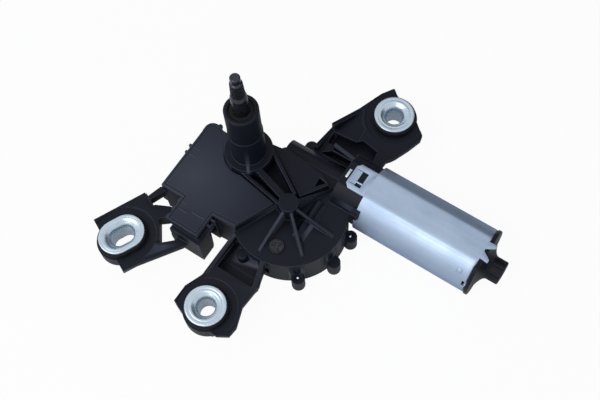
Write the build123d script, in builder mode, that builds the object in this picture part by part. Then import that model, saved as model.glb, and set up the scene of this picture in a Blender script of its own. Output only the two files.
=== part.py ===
from build123d import *
import os
from math import acos, atan2, cos, degrees, hypot, pi, radians, sin, tan

os.makedirs("parts", exist_ok=True)

# Rear wiper motor. The origin is on the spindle axis at the tower's base shoulder,
# +Z runs up the spindle and +X runs along the motor towards its rear end.

# Case: wheel drum, spindle lobe and heights
wall = 2.0
wheel_x = 33.0
wheel_y = -13.5
drum_wall = 1.8
chamber_gap = 1.15
lobe_r = 12.5
lobe_top = 0.0
drum_top = -11.0
running_gap = 0.5
wheel_h = 8.0
rod_t = 4.5
link_t = 1.2
pin_head_t = 0.8
floor_gap = 1.0
seal_t = 0.5
cover_t = 1.5

# Worm drive
worm_module = 0.8
wheel_teeth = 66
worm_pitch_r = 3.6
worm_core_r = 2.9
worm_depth = 0.8
worm_length = 21.0
tooth_depth = 1.45
tooth_tip_w = 0.4
tooth_root_w = 2.0
tooth_addendum = 0.45
shaft_z = -17.0
shaft_r = 3.0
tunnel_bore_r = 5.0
tunnel_wall = 1.6
tunnel_end = 47.0
neck_floor = 58.5
front_journal_r = 2.0
worm_bush_length = 5.0
worm_bush_gap = 1.0
thrust_pad_t = 1.5
thrust_gap = 0.5
wheel_hub_r = 9.0
wheel_boss_r = 12.5
wheel_web_t = 2.5
wheel_recess = 3.5
clip_r = 4.0
clip_t = 0.8
clip_gap = 0.3
clip_slot = 1.6
contact_disc_t = 0.4
disc_outer_r = 21.0
disc_inner_r = 11.0
disc_clearance = 1.5
disc_notch_start = 3.0
disc_notch_w = 4.0
finger_margin = 2.0
finger_pitch = 3.0
finger_count = 3
finger_foot = 0.5
finger_width = 1.2
contact_base_t = 0.6
contact_base_w = 5.0
contact_base_edge = 1.2
contact_gap = 0.3
axle_r = 3.0
axle_cover = 1.5
hub_r = 5.0
hub_top = -0.5

# Crank, rocker and sector
sector_teeth = 24
pinion_teeth = 12
gear_module = 1.25
pressure_angle = 25.0
gear_backlash = 0.12
crank_r = 7.5
rod_length = 33.0
crank_pin_r = 2.5
sector_pin_r = 3.0
pivot_clearance = 0.03
pivot_eye_r = 5.5
rod_width = 7.0
sector_eye_r = 6.0
pin_head_r = 4.5
journal_r = 3.5
washer_t = 0.5
washer_r = 5.8
rocker_eye_r = 7.0
rocker_w = 9.0
crank_hole_depth = 3.0
axle_groove_r = 2.5
axle_clip_rise = 0.6

# Spindle and tower
spindle_r = 4.1
spindle_clearance = 0.03
shank_top = 54.0
cone_bottom = 56.0
cone_top = 66.0
cone_bottom_r = 3.55
cone_top_r = 3.1
cone_grooves = 24
groove_depth = 0.35
stud_neck_r = 2.1
stud_neck_bottom = 66.6
stud_neck_top = 68.0
stud_r = 2.5
stud_top = 71.0
stud_chamfer = 0.5
tower_r = 8.9
tower_seam = 21.0
tower_top = 42.0
sleeve_r = 8.55
spigot_r = 7.3
spigot_h = 5.0
sleeve_chamfer = 0.6
bush_wall = 1.9
spindle_bush_length = 13.0
lower_bush_length = 14.0
upper_bush_top = 37.5
circlip_z = 37.8
circlip_r = 5.5
circlip_groove_r = 3.6
clip_mouth = 1.2
lower_groove_r = 2.9
lower_clip_t = 0.6
seal_clearance = 0.05
bush_flange_t = 1.2
bush_flange_r = 8.0
seal_recess = 0.8
seal_height = 2.0

# Electronics box, seen from above
box_left = -28.0
box_back = 5.0
box_front = -38.0
box_chamfer = 6.9
box_tower_x = -5.5
box_tower_y = -9.8
box_notch_x = 5.5
lid_t = 2.0
lid_top = -4.0
lid_gap = 0.3
lid_edge = 0.5
snap_w = 2.4
snap_t = 0.8
snap_drop = 3.5
board_t = 1.6
board_gap = 0.6
board_height = 7.0
post_r = 1.8
box_floor_z = -18.0
drum_corner_x = 16.5
drum_corner_y = -37.0
hub_corner_x = 26.8
hub_corner_y = -15.2
socket_left = -15.0
socket_right = 4.0
socket_lid_front = -51.5
shroud_left = -12.0
shroud_right = 6.4
shroud_front = -54.0
shroud_bottom = -28.0
shroud_top = -9.0
shroud_wall = 1.8
contact_count = 4
contact_pitch = 3.2
contact_t = 0.8
contact_w = 1.6
contact_recess = 5.0
socket_depth = 15.0
relay_l = 14.0
relay_w = 12.0
component_h = 6.5
capacitor_r = 3.0
relay_x = -22.0
relay_y = -30.0
capacitor_places = [(-20.0, -8.0), (-1.0, -27.0), (-3.5, -18.0)]
snap_places = (-40.0, -45.0, -50.0)

# Motor
can_start = 62.3
can_length = 64.0
can_r = 17.5
can_flat = 16.0
can_wall = 1.2
tab_length = 11.4
tab_width = 14.6
tab_chamfer = 2.6
window_start = 3.1
window_l = 4.5
window_w = 8.5
lug_length = 2.0
lug_w = 6.0
finger_l = 4.6
finger_tip_w = 1.8
finger_overlap = 0.5
finger_root = 4.2
finger_tip = 3.6
magnet_t = 4.2
magnet_start = 78.0
magnet_length = 34.0
magnet_half_angle = 50.0
core_r = 11.1
core_length = 26.0
core_start = 82.0
core_slots = 10
slot_w = 2.2
slot_mouth = 1.0
slot_bottom_r = 5.5
slot_top_r = 10.0
winding_r = 9.6
winding_inner_r = 4.0
winding_t = 5.0
winding_bar_w = 2.0
commutator_r = 6.0
commutator_length = 9.0
commutator_start = 66.5
commutator_slit = 0.4
commutator_slit_depth = 0.6
cup_r = 5.0
cup_length = 7.2
rear_journal_r = 2.0
rear_journal_lead = 0.8
shaft_tail = 0.3
cap_flange_t = 2.0
cap_lip = 0.5
cap_length = 12.2
cap_knob_r = 6.25
cap_knob_length = 5.5
cap_trumpet_r = 14.5
cap_waist_reach = 3.9
cap_waist_r = 8.8
cap_notches = 8
cap_notch_w = 1.2
cap_notch_depth = 0.5
bearing_r = 6.5
bearing_t = 6.0
bearing_start = 50.0
spigot_length = 6.0
brush_plate_t = 1.5
brush_w = 4.4
brush_h = 4.8
brush_length = 6.2
brush_gap = 0.3
holder_wall = 0.8
choke_r = 2.2
choke_length = 8.8
choke_offset = 8.0
choke_turns = 6
rear_bearing_t = 5.0
cap_clearance = 0.1
rear_notch_w = 3.6
notch_l = 2.2
notch_w = 4.6
notch_y = 15.0
notch_z = 9.0
rear_notch_y = 16.8
rear_notch_z = 4.9
blade_w = 4.8
blade_t = 0.8
blade_y = 9.0
blade_z = 7.0
spring_t = 0.3
spring_travel = 2.0

# Mounting arms
arm_bottom = -24.5
arm_top = -16.0
arm_root_top = -11.0
seat_depth = 0.8
seat_r = 15.5
bush_boss_reach = 1.6
grommet_hole_r = 8.3
grommet_reach = 0.9
grommet_lip_r = 10.3
grommet_lip_t = 2.0
bush_wall_t = 2.0
arm_wall_t = 2.2
beam_bottom = -21.0
bush_top = -12.0
flange_r = 10.5
flange_t = 1.5
dish_depth = 2.0
bolt_hole_r = 4.25
dish_r = 6.5
left_x = -32.0
left_y = -68.8
left_turn = 63.5
left_slot_length = 12.0
left_flange_spread = 5.6
left_flange_r = 9.3
lower_x = 25.6
lower_y = -76.5
right_x = 48.8
right_y = 62.1

# Fasteners
boss_r = 3.5
boss_top = -22.0
boss_reach = 2.2
screw_r = 1.5
screw_head_r = 2.6
screw_head_t = 1.3
screw_length = 7.0
screw_clearance = 0.3
spindle_foot_r = 6.0
wheel_foot_r = 8.0
earth_x = 49.2
earth_y = 19.0

# Heights worked out from the drum's roof down to the foot
roof_inner = drum_top - wall
wheel_pitch_r = worm_module * wheel_teeth / 2
wheel_tip_r = wheel_pitch_r + tooth_addendum
wheel_root_r = wheel_tip_r - tooth_depth
wheel_rim_r = disc_outer_r + disc_clearance
chamber_r = wheel_tip_r + chamber_gap
drum_r = chamber_r + drum_wall
wheel_top = roof_inner - running_gap
wheel_bottom = wheel_top - wheel_h
rod_top = wheel_bottom - running_gap
rod_bottom = rod_top - rod_t
link_top = rod_bottom - running_gap
link_bottom = link_top - link_t
cover_top = link_bottom - pin_head_t - floor_gap
case_bottom = cover_top + seal_t
cover_bottom = cover_top - cover_t
foot_bottom = shaft_z - can_flat
chamber_top = rod_top + wall
lid_bottom = lid_top - lid_t
board_z = box_floor_z + board_height
axle_top = hub_top - axle_cover
axle_clip_z = wheel_bottom + axle_clip_rise
journal_bottom = cover_top + 0.7
lower_clip_z = link_bottom - clip_gap - lower_clip_t
pin_top = wheel_bottom - clip_gap
wheel_centre = (wheel_x, wheel_y)
shaft_y = wheel_y + wheel_pitch_r + worm_pitch_r
tunnel_r = tunnel_bore_r + tunnel_wall
worm_start = wheel_x - worm_length / 2
core_start_x = worm_start - running_gap
worm_end = worm_start + worm_length + running_gap
worm_bush_end = core_start_x - worm_bush_gap
worm_bush_start = worm_bush_end - worm_bush_length
tunnel_start = worm_bush_start - thrust_gap - thrust_pad_t - wall
spigot_end = can_start + spigot_length
bush_outer_r = spindle_r + spindle_clearance + bush_wall
can_inner_r = can_r - can_wall
can_inner_flat = can_flat - can_wall
can_end = can_start + can_length
rear_journal_start = can_end - rear_journal_lead
shaft_end = can_end + rear_bearing_t + shaft_tail
cap_end = can_end + cap_length
cap_knob_start = cap_end - cap_knob_length
cap_waist_x = can_end + cap_waist_reach
neck_top = shaft_z + can_inner_flat
can_top = shaft_z + can_flat

# Linkage: at rest the crank and the rod lie in line, at their longest reach
sector_pitch_r = gear_module * sector_teeth / 2
pinion_pitch_r = gear_module * pinion_teeth / 2
rocker_length = sector_pitch_r + pinion_pitch_r
ground_length = hypot(wheel_x, wheel_y)
ground_angle = degrees(atan2(wheel_y, wheel_x))


def rocker_angle(reach):
    """Direction from the spindle to the sector pin when the pin is this far from the wheel."""
    across = (ground_length**2 + rocker_length**2 - reach**2) / (2 * ground_length * rocker_length)
    return ground_angle - degrees(acos(across))


def polar(centre, radius, angle):
    """Point on plan at a radius and an angle from a centre."""
    return (centre[0] + radius * cos(radians(angle)), centre[1] + radius * sin(radians(angle)))


def rod_angle(angle):
    """Direction from the sector pin to the wheel's centre for one direction of the rocker."""
    pin = polar((0, 0), rocker_length, angle)
    return degrees(atan2(wheel_y - pin[1], wheel_x - pin[0]))


rest_angle = rocker_angle(rod_length + crank_r)
folded_angle = rocker_angle(rod_length - crank_r)
rocker_travel = folded_angle - rest_angle
rod_rest_angle = rod_angle(rest_angle)
rod_travel = rod_angle(folded_angle) - folded_angle - rod_rest_angle + rest_angle
spindle_travel = rocker_travel - sector_teeth / pinion_teeth * rod_travel
sector_pin_point = polar((0, 0), rocker_length, rest_angle)
crank_point = polar(sector_pin_point, rod_length, rod_rest_angle)
swell_r = sector_pitch_r + gear_module + running_gap
print("spindle travel", round(spindle_travel, 4), "degrees")
print("rocker per spindle turn", round(rocker_travel / spindle_travel, 6))
print("rod on rocker per spindle turn", round(rod_travel / spindle_travel, 6))
print("sector pin", [round(value, 4) for value in sector_pin_point])

# Plans of the box, the plateau and the arms, from the photographed outlines
box_plan = [
    (box_left, box_front),
    (box_left, box_back - box_chamfer / 2),
    (box_left + box_chamfer, box_back),
    (box_tower_x, box_tower_y),
    (hub_corner_x, hub_corner_y),
    (drum_corner_x, drum_corner_y),
    (box_notch_x, box_front),
]
plateau_top = lid_top - 1.0
plateau_plan = [(9.8, 8.7), (34.7, -6.4), (43.5, 6.9), (37.5, 9.9), (13.4, 13.0)]
plateau_pocket = [(37.4, 7.8), (42.0, 7.0), (38.0, 2.2)]
left_pad = [
    (-50.4, -69.4),
    (-37.3, -43.1),
    (-34.6, -44.0),
    (-22.3, -50.7),
    (-14.0, -61.8),
    (-16.0, -75.0),
    (-20.5, -83.7),
    (-28.9, -79.7),
    (-43.6, -72.8),
]
left_upper_beam = [(-37.3, -43.1), (-29.0, -36.6), (-25.5, -36.6), (-29.6, -46.7)]
left_middle_beam = [(-30.2, -46.5), (-22.3, -50.7), (-14.0, -44.0), (-14.0, -41.0), (-21.6, -42.4)]
left_lower_beam = [(-17.0, -77.0), (-2.8, -56.5), (-2.4, -52.0), (-12.0, -52.0), (-16.5, -62.0)]
lower_outline = [
    (15.9, -34.0),
    (13.8, -63.6),
    (10.0, -72.8),
    (9.9, -82.0),
    (13.9, -83.7),
    (19.9, -85.4),
    (37.8, -85.6),
    (43.1, -82.4),
    (43.7, -77.0),
    (40.3, -66.8),
    (41.3, -53.6),
    (35.5, -38.0),
]
lower_pocket = [(18.0, -40.0), (17.6, -56.0), (38.0, -56.0), (38.6, -52.0), (34.0, -40.0)]
right_outline = [
    (23.5, 22.0),
    (24.2, 40.4),
    (31.2, 59.6),
    (35.6, 71.1),
    (39.7, 77.3),
    (44.0, 74.5),
    (58.0, 68.3),
    (66.7, 60.9),
    (67.3, 57.8),
    (64.7, 49.8),
    (61.4, 41.9),
    (58.6, 38.4),
    (58.1, 26.0),
]
right_pocket = [(26.7, 33.0), (26.7, 38.4), (51.8, 40.4), (53.1, 33.0)]
trough = [(27.0, 24.6), (45.0, 24.6), (45.0, 28.6), (32.0, 28.6)]
neck_step = [(45.5, 27.5), (58.1, 25.0), (58.1, 31.6), (45.5, 31.6)]
neck_step_top = -10.0
arm_walls = [
    ((16.9, -38.0), (14.9, -62.0)),
    ((36.6, -43.0), (39.9, -56.0)),
    ((24.6, 24.0), (25.2, 40.5)),
    ((25.2, 39.5), (31.4, 57.0)),
    ((32.0, 30.1), (46.0, 30.1)),
]

# Ribs of the roof, as an angle and a radius from the hub, and the walls beside the tower
rib_t = 1.5
roof_ribs = [(-92.0, 25.7), (-42.0, 25.1), (0.0, 26.2), (61.0, 24.7)]
rib_top = -3.0
rib_end_top = -10.4
wall_top = -1.5
tower_walls = [
    ((box_tower_x, box_tower_y), (wheel_x - 4.6, wheel_y - 2.0), 1.6),
    ((9.0, 7.6), (wheel_x - 0.5, wheel_y + 6.4), 1.6),
    ((8.0, -5.5), (wheel_x - 4.0, wheel_y + 2.0), 3.4),
]
ridge_x = 43.5
ridge_r = 2.3
ridge_back = 1.7
ridge_length = 21.8
strip_h = 0.6
vent_x = 38.3
vent_y = -33.0
vent_r = 3.6
vent_h = 1.4
vent_stem_r = 2.0

# Screws of the bottom cover: three on the drum's edge, one by the tunnel, three in the box
outer_bosses = [polar(wheel_centre, drum_r + boss_reach, angle) for angle in (-50.0, -14.0, 15.0)]
tunnel_boss = (19.6, shaft_y + tunnel_r + boss_r + 0.4)
column_inset = boss_r + 0.2
inner_bosses = [
    (box_left + column_inset, box_front + column_inset),
    (box_left + column_inset, box_back - box_chamfer / 2 - column_inset),
    (box_notch_x, box_front + column_inset),
]
screw_points = outer_bosses + [tunnel_boss] + inner_bosses

# Bush places: centre, turn of the slot, its spread, and the flange's spread and radius
left_spread = left_slot_length - 2 * bolt_hole_r
left_seat = (left_x, left_y, left_turn, left_spread, left_flange_spread, left_flange_r)
lower_seat = (lower_x, lower_y, 0.0, 0.0, 0.0, flange_r)
right_seat = (right_x, right_y, 0.0, 0.0, 0.0, flange_r)


def rectangle(x_low, x_high, y_low, y_high):
    """Corners of a rectangle on plan."""
    return [(x_low, y_low), (x_high, y_low), (x_high, y_high), (x_low, y_high)]


def block(points, bottom, top):
    """Straight-sided block between two heights."""
    with BuildPart() as shape:
        with BuildSketch(Plane.XY.offset(bottom)):
            Polygon(*points, align=None)
        extrude(amount=top - bottom)
    return shape.part


def rib(start, end, width, low, high_start, high_end):
    """Upright rib along a line on plan, with a top that slopes from one height to another."""
    length = hypot(end[0] - start[0], end[1] - start[1])
    along = Vector(end[0] - start[0], end[1] - start[1], 0)
    side = Plane(origin=(start[0], start[1], 0), x_dir=along, z_dir=along.cross(Vector(0, 0, 1)))
    with BuildPart() as web:
        with BuildSketch(side):
            Polygon((0, low), (length, low), (length, high_end), (0, high_start), align=None)
        extrude(amount=width / 2, both=True)
    return web.part


def round_slot(x, y, turn, spread, radius, height):
    """Slot-shaped face on plan, or a disc where the spread is nothing."""
    with BuildSketch(Plane.XY.offset(height)) as face:
        with Locations((x, y)):
            if spread > 0:
                SlotCenterToCenter(spread, 2 * radius, rotation=turn)
            else:
                Circle(radius)
    return face.sketch


def sector_swell(height, radius):
    """Half disc round the sector pin, on the side of the spindle."""
    with BuildSketch(Plane.XY.offset(height)) as face:
        with Locations(sector_pin_point):
            Circle(radius)
            Rectangle(2 * radius, radius, align=(Align.CENTER, Align.MIN), mode=Mode.INTERSECT)
    return face.sketch


def case_plan(height):
    """Plan of the case: drum, spindle lobe, the sector's swell and the electronics box."""
    with BuildSketch(Plane.XY.offset(height)) as plan:
        Circle(lobe_r)
        with Locations(wheel_centre):
            Circle(drum_r)
        make_hull()
        add(sector_swell(height, swell_r + wall))
        Polygon(*box_plan, align=None)
    return plan.sketch


def cover_plan(height):
    """Plan of the bottom cover: the case, the tunnel's foot and the ears round the screws."""
    with BuildSketch(Plane.XY.offset(height)) as plan:
        add(case_plan(height))
        Polygon(*rectangle(tunnel_start, tunnel_end, shaft_y - tunnel_r, shaft_y + tunnel_r), align=None)
        with Locations(*outer_bosses, tunnel_boss):
            Circle(boss_r)
        with Locations((tunnel_boss[0], shaft_y + tunnel_r)):
            Rectangle(2 * boss_r, 2 * boss_r)
        neck_low = shaft_y - can_inner_r - lid_gap
        neck_room = rectangle(tunnel_end - lid_gap, can_start, neck_low, shaft_y + can_inner_r)
        Polygon(*neck_room, align=None, mode=Mode.SUBTRACT)
    return plan.sketch


def box_inset(height, gap):
    """Plan of the electronics box, inset from its outline by its wall and a gap."""
    with BuildSketch(Plane.XY.offset(height)) as plan:
        Polygon(*box_plan, align=None)
        offset(amount=-(wall + gap), kind=Kind.INTERSECTION)
    return plan.sketch


def lower_room(height):
    """Plan of the chamber for the rocker and the sector, inside the case's wall."""
    with BuildSketch(Plane.XY.offset(height)) as plan:
        Circle(lobe_r - wall)
        with Locations(wheel_centre):
            Circle(drum_r - wall)
        make_hull()
        add(sector_swell(height, swell_r))
        add(box_inset(height, 0))
    return plan.sketch


def box_room(height, gap):
    """Plan of the space inside the electronics box, beside the spindle lobe."""
    with BuildSketch(Plane.XY.offset(height)) as plan:
        add(box_inset(height, gap))
        Circle(lobe_r + gap, mode=Mode.SUBTRACT)
    return plan.sketch


def deep_room(height, gap):
    """Plan of the deep part of the electronics box, beside the drum."""
    with BuildSketch(Plane.XY.offset(height)) as plan:
        add(box_room(height, gap))
        with Locations(wheel_centre):
            Circle(drum_r + gap, mode=Mode.SUBTRACT)
    return plan.sketch


def can_plan(x, radius, flat):
    """Round section with a flat above and below, round the motor's axis."""
    with BuildSketch(Plane.YZ.offset(x)) as plan:
        with Locations((shaft_y, shaft_z)):
            Circle(radius)
            Rectangle(2 * radius, 2 * flat, mode=Mode.INTERSECT)
    return plan.sketch


def shaft_rings(x, *radii):
    """Face across the motor's axis: a disc, or a ring where a second radius is given."""
    with BuildSketch(Plane.YZ.offset(x)) as plan:
        with Locations((shaft_y, shaft_z)):
            Circle(radii[0])
            if len(radii) > 1:
                Circle(radii[1], mode=Mode.SUBTRACT)
    return plan.sketch


def upright_rings(centre, height, *radii):
    """Face on plan: a disc, or a ring where a second radius is given."""
    with BuildSketch(Plane.XY.offset(height)) as plan:
        with Locations(centre):
            Circle(radii[0])
            if len(radii) > 1:
                Circle(radii[1], mode=Mode.SUBTRACT)
    return plan.sketch


def box_at(x_low, x_high, y_low, y_high, bottom, top):
    """Upright box between six limits."""
    return block(rectangle(x_low, x_high, y_low, y_high), bottom, top)


def contact_pins():
    """Angled connector contacts: upright in the socket, then level under the circuit board."""
    with BuildPart() as pins:
        for number in range(contact_count):
            x = socket_mid_x + (number - (contact_count - 1) / 2) * contact_pitch
            low, high = x - contact_w / 2, x + contact_w / 2
            pin_bottom = shroud_bottom + contact_recess
            add(box_at(low, high, socket_mid_y, socket_mid_y + contact_t, pin_bottom, board_z))
            add(box_at(low, high, socket_mid_y, box_front + 2 * wall, board_z - contact_t, board_z))
    return pins.part


def involute(angle):
    """Involute function of a pressure angle in radians, as an angle in degrees."""
    return degrees(tan(angle) - angle)


def tooth_outline(teeth, centre, direction, turn):
    """Outline of one involute tooth from root to root, centred on a direction from the gear's centre."""
    pitch_r = gear_module * teeth / 2
    base_r = pitch_r * cos(radians(pressure_angle))
    root_r = pitch_r - 1.25 * gear_module
    tip_r = pitch_r + gear_module
    foot_r = max(base_r, root_r)
    half = 90.0 / teeth - degrees(gear_backlash / 2 / pitch_r) + involute(radians(pressure_angle))
    radii = [foot_r + (tip_r - foot_r) * step / 4 for step in range(5)]
    halves = [half - involute(acos(min(1.0, base_r / radius))) for radius in radii]
    middle = direction + turn
    rising = [polar(centre, root_r, middle - halves[0])]
    rising += [polar(centre, radius, middle - width) for radius, width in zip(radii, halves)]
    falling = [polar(centre, radius, middle + width) for radius, width in zip(radii, halves)]
    falling = falling[::-1] + [polar(centre, root_r, middle + halves[0])]
    return rising + falling


def bar(start, end, width, height):
    """Face of a straight bar on plan between two points."""
    turn = degrees(atan2(end[1] - start[1], end[0] - start[0]))
    length = hypot(end[0] - start[0], end[1] - start[1])
    with BuildSketch(Plane.XY.offset(height)) as face:
        with Locations(((start[0] + end[0]) / 2, (start[1] + end[1]) / 2)):
            Rectangle(length, width, rotation=turn)
    return face.sketch


def star_ring(radius, height):
    """Grooved section of the spindle's cone."""
    pitch = 360.0 / cone_grooves
    points = []
    for number in range(cone_grooves):
        points.append(polar((0, 0), radius, (number + 0.15) * pitch))
        points.append(polar((0, 0), radius, (number + 0.35) * pitch))
        points.append(polar((0, 0), radius - groove_depth, (number + 0.75) * pitch))
    with BuildSketch(Plane.XY.offset(height)) as face:
        Polygon(*points, align=None)
    return face.sketch


def ear_bosses(height):
    """Plan of the bosses round the outer screws."""
    with BuildSketch(Plane.XY.offset(height)) as plan:
        with Locations(*outer_bosses, tunnel_boss):
            Circle(boss_r)
        with Locations((tunnel_boss[0], shaft_y + tunnel_r)):
            Rectangle(2 * boss_r, 2 * boss_r)
    return plan.sketch


def screw_holes(height, radius):
    """Plan of all the cover's screw holes."""
    with BuildSketch(Plane.XY.offset(height)) as plan:
        with Locations(*screw_points):
            Circle(radius)
    return plan.sketch


socket_mid_x = (shroud_left + shroud_right) / 2
socket_mid_y = (shroud_front + box_front) / 2
lug_x = can_start - tab_length + window_start + window_l - lug_length - 0.6

# Gear housing: one moulding that carries everything else
with BuildPart() as gear_housing:
    # Mounting arms with their side walls and the bosses round the bushes
    for outline in (left_pad, left_middle_beam, lower_outline, right_outline):
        add(block(outline, arm_bottom, arm_top))
    add(block(left_lower_beam, beam_bottom, arm_top))
    add(block(left_upper_beam, arm_bottom, arm_root_top))
    for x, y, turn, spread, flange_spread, radius in (left_seat, lower_seat, right_seat):
        extrude(
            round_slot(x, y, turn, flange_spread, radius + bush_boss_reach, arm_bottom),
            amount=arm_top - arm_bottom,
        )
    # Pockets in the arms, the seats round the bushes and the grommets' holes
    for outline in (right_pocket, lower_pocket, trough):
        add(block(outline, arm_bottom + wall, arm_top), mode=Mode.SUBTRACT)
    for x, y, turn, spread, flange_spread, radius in (left_seat, lower_seat, right_seat):
        extrude(
            round_slot(x, y, turn, spread, seat_r, arm_top - seat_depth),
            amount=seat_depth,
            mode=Mode.SUBTRACT,
        )
        extrude(
            round_slot(x, y, turn, spread, grommet_hole_r, arm_bottom),
            amount=arm_top - arm_bottom,
            mode=Mode.SUBTRACT,
        )
    for start, end in arm_walls:
        add(rib(start, end, arm_wall_t, arm_bottom, arm_root_top, arm_top))
    add(block(neck_step, arm_bottom, neck_step_top))

    # Case, electronics box, and the socket's shroud under the lid's tongue
    extrude(case_plan(case_bottom), amount=drum_top - case_bottom)
    add(block(box_plan, drum_top, lid_bottom))
    add(box_at(shroud_left, shroud_right, shroud_front, box_front, shroud_bottom, shroud_top))
    add(box_at(socket_left, socket_right, socket_lid_front, box_front, shroud_top, lid_bottom))
    # Spindle lobe, tower and the spigot inside the sleeve
    extrude(upright_rings((0, 0), drum_top, lobe_r), amount=lobe_top - drum_top)
    extrude(upright_rings((0, 0), lobe_top, tower_r), amount=tower_seam - lobe_top)
    extrude(upright_rings((0, 0), tower_seam, spigot_r), amount=spigot_h)
    # Hub boss over the wheel's axle
    extrude(upright_rings(wheel_centre, drum_top, hub_r), amount=hub_top - drum_top)
    # Worm tunnel and the block under it
    extrude(shaft_rings(tunnel_start, tunnel_r), amount=tunnel_end - tunnel_start)
    add(box_at(tunnel_start, tunnel_end, shaft_y - tunnel_r, shaft_y + tunnel_r, case_bottom, shaft_z))
    # Motor neck, with the spigot that enters the can
    extrude(can_plan(tunnel_end, can_inner_r, can_inner_flat), amount=spigot_end - tunnel_end)
    # Plateau beside the tunnel, over the drum, with a dark pocket in its corner
    add(block(plateau_plan, drum_top, plateau_top))
    add(block(plateau_pocket, drum_top, plateau_top), mode=Mode.SUBTRACT)
    # Bosses for the outer screws
    extrude(ear_bosses(case_bottom), amount=boss_top - case_bottom)

    # Wheel chamber, and the lower chamber for the rocker and the sector
    extrude(
        upright_rings(wheel_centre, case_bottom, chamber_r),
        amount=roof_inner - case_bottom,
        mode=Mode.SUBTRACT,
    )
    extrude(lower_room(case_bottom), amount=chamber_top - case_bottom, mode=Mode.SUBTRACT)
    # Electronics box: deep beside the drum, shallow over it
    extrude(deep_room(box_floor_z, 0), amount=lid_bottom - box_floor_z, mode=Mode.SUBTRACT)
    extrude(box_room(drum_top, 0), amount=lid_bottom - drum_top, mode=Mode.SUBTRACT)
    # Bores for the spindle's bushes and the wheel's axle
    extrude(
        upright_rings((0, 0), chamber_top, bush_outer_r),
        amount=tower_seam + spigot_h - chamber_top,
        mode=Mode.SUBTRACT,
    )
    extrude(
        upright_rings(wheel_centre, roof_inner, axle_r),
        amount=axle_top - roof_inner,
        mode=Mode.SUBTRACT,
    )
    # Bores for the worm, the front bearing and the motor's neck
    extrude(
        shaft_rings(tunnel_start + wall, tunnel_bore_r),
        amount=bearing_start - tunnel_start - wall,
        mode=Mode.SUBTRACT,
    )
    extrude(shaft_rings(bearing_start, bearing_r), amount=neck_floor - bearing_start, mode=Mode.SUBTRACT)
    extrude(
        can_plan(neck_floor, can_inner_r - wall, can_inner_flat - wall),
        amount=spigot_end - neck_floor,
        mode=Mode.SUBTRACT,
    )
    # Connector socket, open below, and the passages of its contacts
    add(
        box_at(
            shroud_left + shroud_wall,
            shroud_right - shroud_wall,
            shroud_front + shroud_wall,
            box_front - shroud_wall,
            shroud_bottom,
            shroud_bottom + socket_depth,
        ),
        mode=Mode.SUBTRACT,
    )
    add(contact_pins(), mode=Mode.SUBTRACT)

    # Ribs that run out from the hub, and the walls of the hollow beside the tower
    for angle, radius in roof_ribs:
        start = polar(wheel_centre, hub_r - 0.5, angle)
        end = polar(wheel_centre, radius, angle)
        add(rib(start, end, rib_t, drum_top, rib_top, rib_end_top))
    for start, end, width in tower_walls:
        add(rib(start, end, width, drum_top, wall_top, rib_top))
    # Half-round ridge and its flat strip on the drum's roof
    with BuildSketch(Plane.XZ.offset(ridge_back)):
        with Locations((ridge_x, drum_top)):
            Circle(ridge_r)
            Rectangle(2 * ridge_r, 2 * ridge_r, align=(Align.CENTER, Align.MAX), mode=Mode.SUBTRACT)
        with Locations((ridge_x + ridge_r, drum_top)):
            Rectangle(ridge_r, strip_h, align=(Align.MIN, Align.MIN))
    extrude(amount=ridge_length)
    # Posts under the circuit board and columns for the inner screws
    with BuildSketch(Plane.XY.offset(box_floor_z)):
        with Locations(*inner_bosses):
            Circle(post_r)
    extrude(amount=board_z - box_floor_z)
    with BuildSketch(Plane.XY.offset(cover_top)):
        with Locations(*inner_bosses):
            Circle(boss_r)
    extrude(amount=chamber_top - cover_top)
    # Lugs that lock the can: one in the tab's window and one at its front edge
    add(box_at(lug_x, lug_x + lug_length, shaft_y - lug_w / 2, shaft_y + lug_w / 2, neck_top, can_top))
    with BuildSketch(Plane.YZ.offset(can_start - notch_l)):
        with Locations((shaft_y - notch_y, shaft_z + notch_z)):
            Rectangle(notch_w - lid_gap, notch_w - lid_gap)
    extrude(amount=2 * notch_l - lid_gap)
    # Screw holes and the vent hole
    extrude(screw_holes(cover_top, screw_r), amount=screw_length - cover_t, mode=Mode.SUBTRACT)
    with BuildSketch(Plane.XY.offset(roof_inner)):
        with Locations((vent_x, vent_y)):
            Circle(vent_stem_r)
    extrude(amount=wall, mode=Mode.SUBTRACT)
gear_housing.part.label = "gear_housing"
export_step(gear_housing.part, "parts/gear_housing.step")

# Tower sleeve over the housing's spigot
with BuildPart() as tower_sleeve:
    extrude(upright_rings((0, 0), tower_seam, sleeve_r, spigot_r), amount=spigot_h)
    extrude(
        upright_rings((0, 0), tower_seam + spigot_h, sleeve_r, bush_outer_r),
        amount=tower_top - tower_seam - spigot_h,
    )
    chamfer(tower_sleeve.edges().group_by(Axis.Z)[-1], length=sleeve_chamfer)
tower_sleeve.part.label = "tower_sleeve"
export_step(tower_sleeve.part, "parts/tower_sleeve.step")

# Bushes of the spindle: a flanged one below and a plain one above
with BuildPart() as lower_spindle_bush:
    extrude(
        upright_rings((0, 0), chamber_top - bush_flange_t, bush_flange_r, spindle_r + spindle_clearance),
        amount=bush_flange_t,
    )
    extrude(
        upright_rings((0, 0), chamber_top, bush_outer_r, spindle_r + spindle_clearance),
        amount=lower_bush_length,
    )
lower_spindle_bush.part.label = "lower_spindle_bush"
export_step(lower_spindle_bush.part, "parts/lower_spindle_bush.step")

with BuildPart() as upper_spindle_bush:
    extrude(
        upright_rings((0, 0), upper_bush_top, bush_outer_r, spindle_r + spindle_clearance),
        amount=-spindle_bush_length,
    )
upper_spindle_bush.part.label = "upper_spindle_bush"
export_step(upper_spindle_bush.part, "parts/upper_spindle_bush.step")

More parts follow.
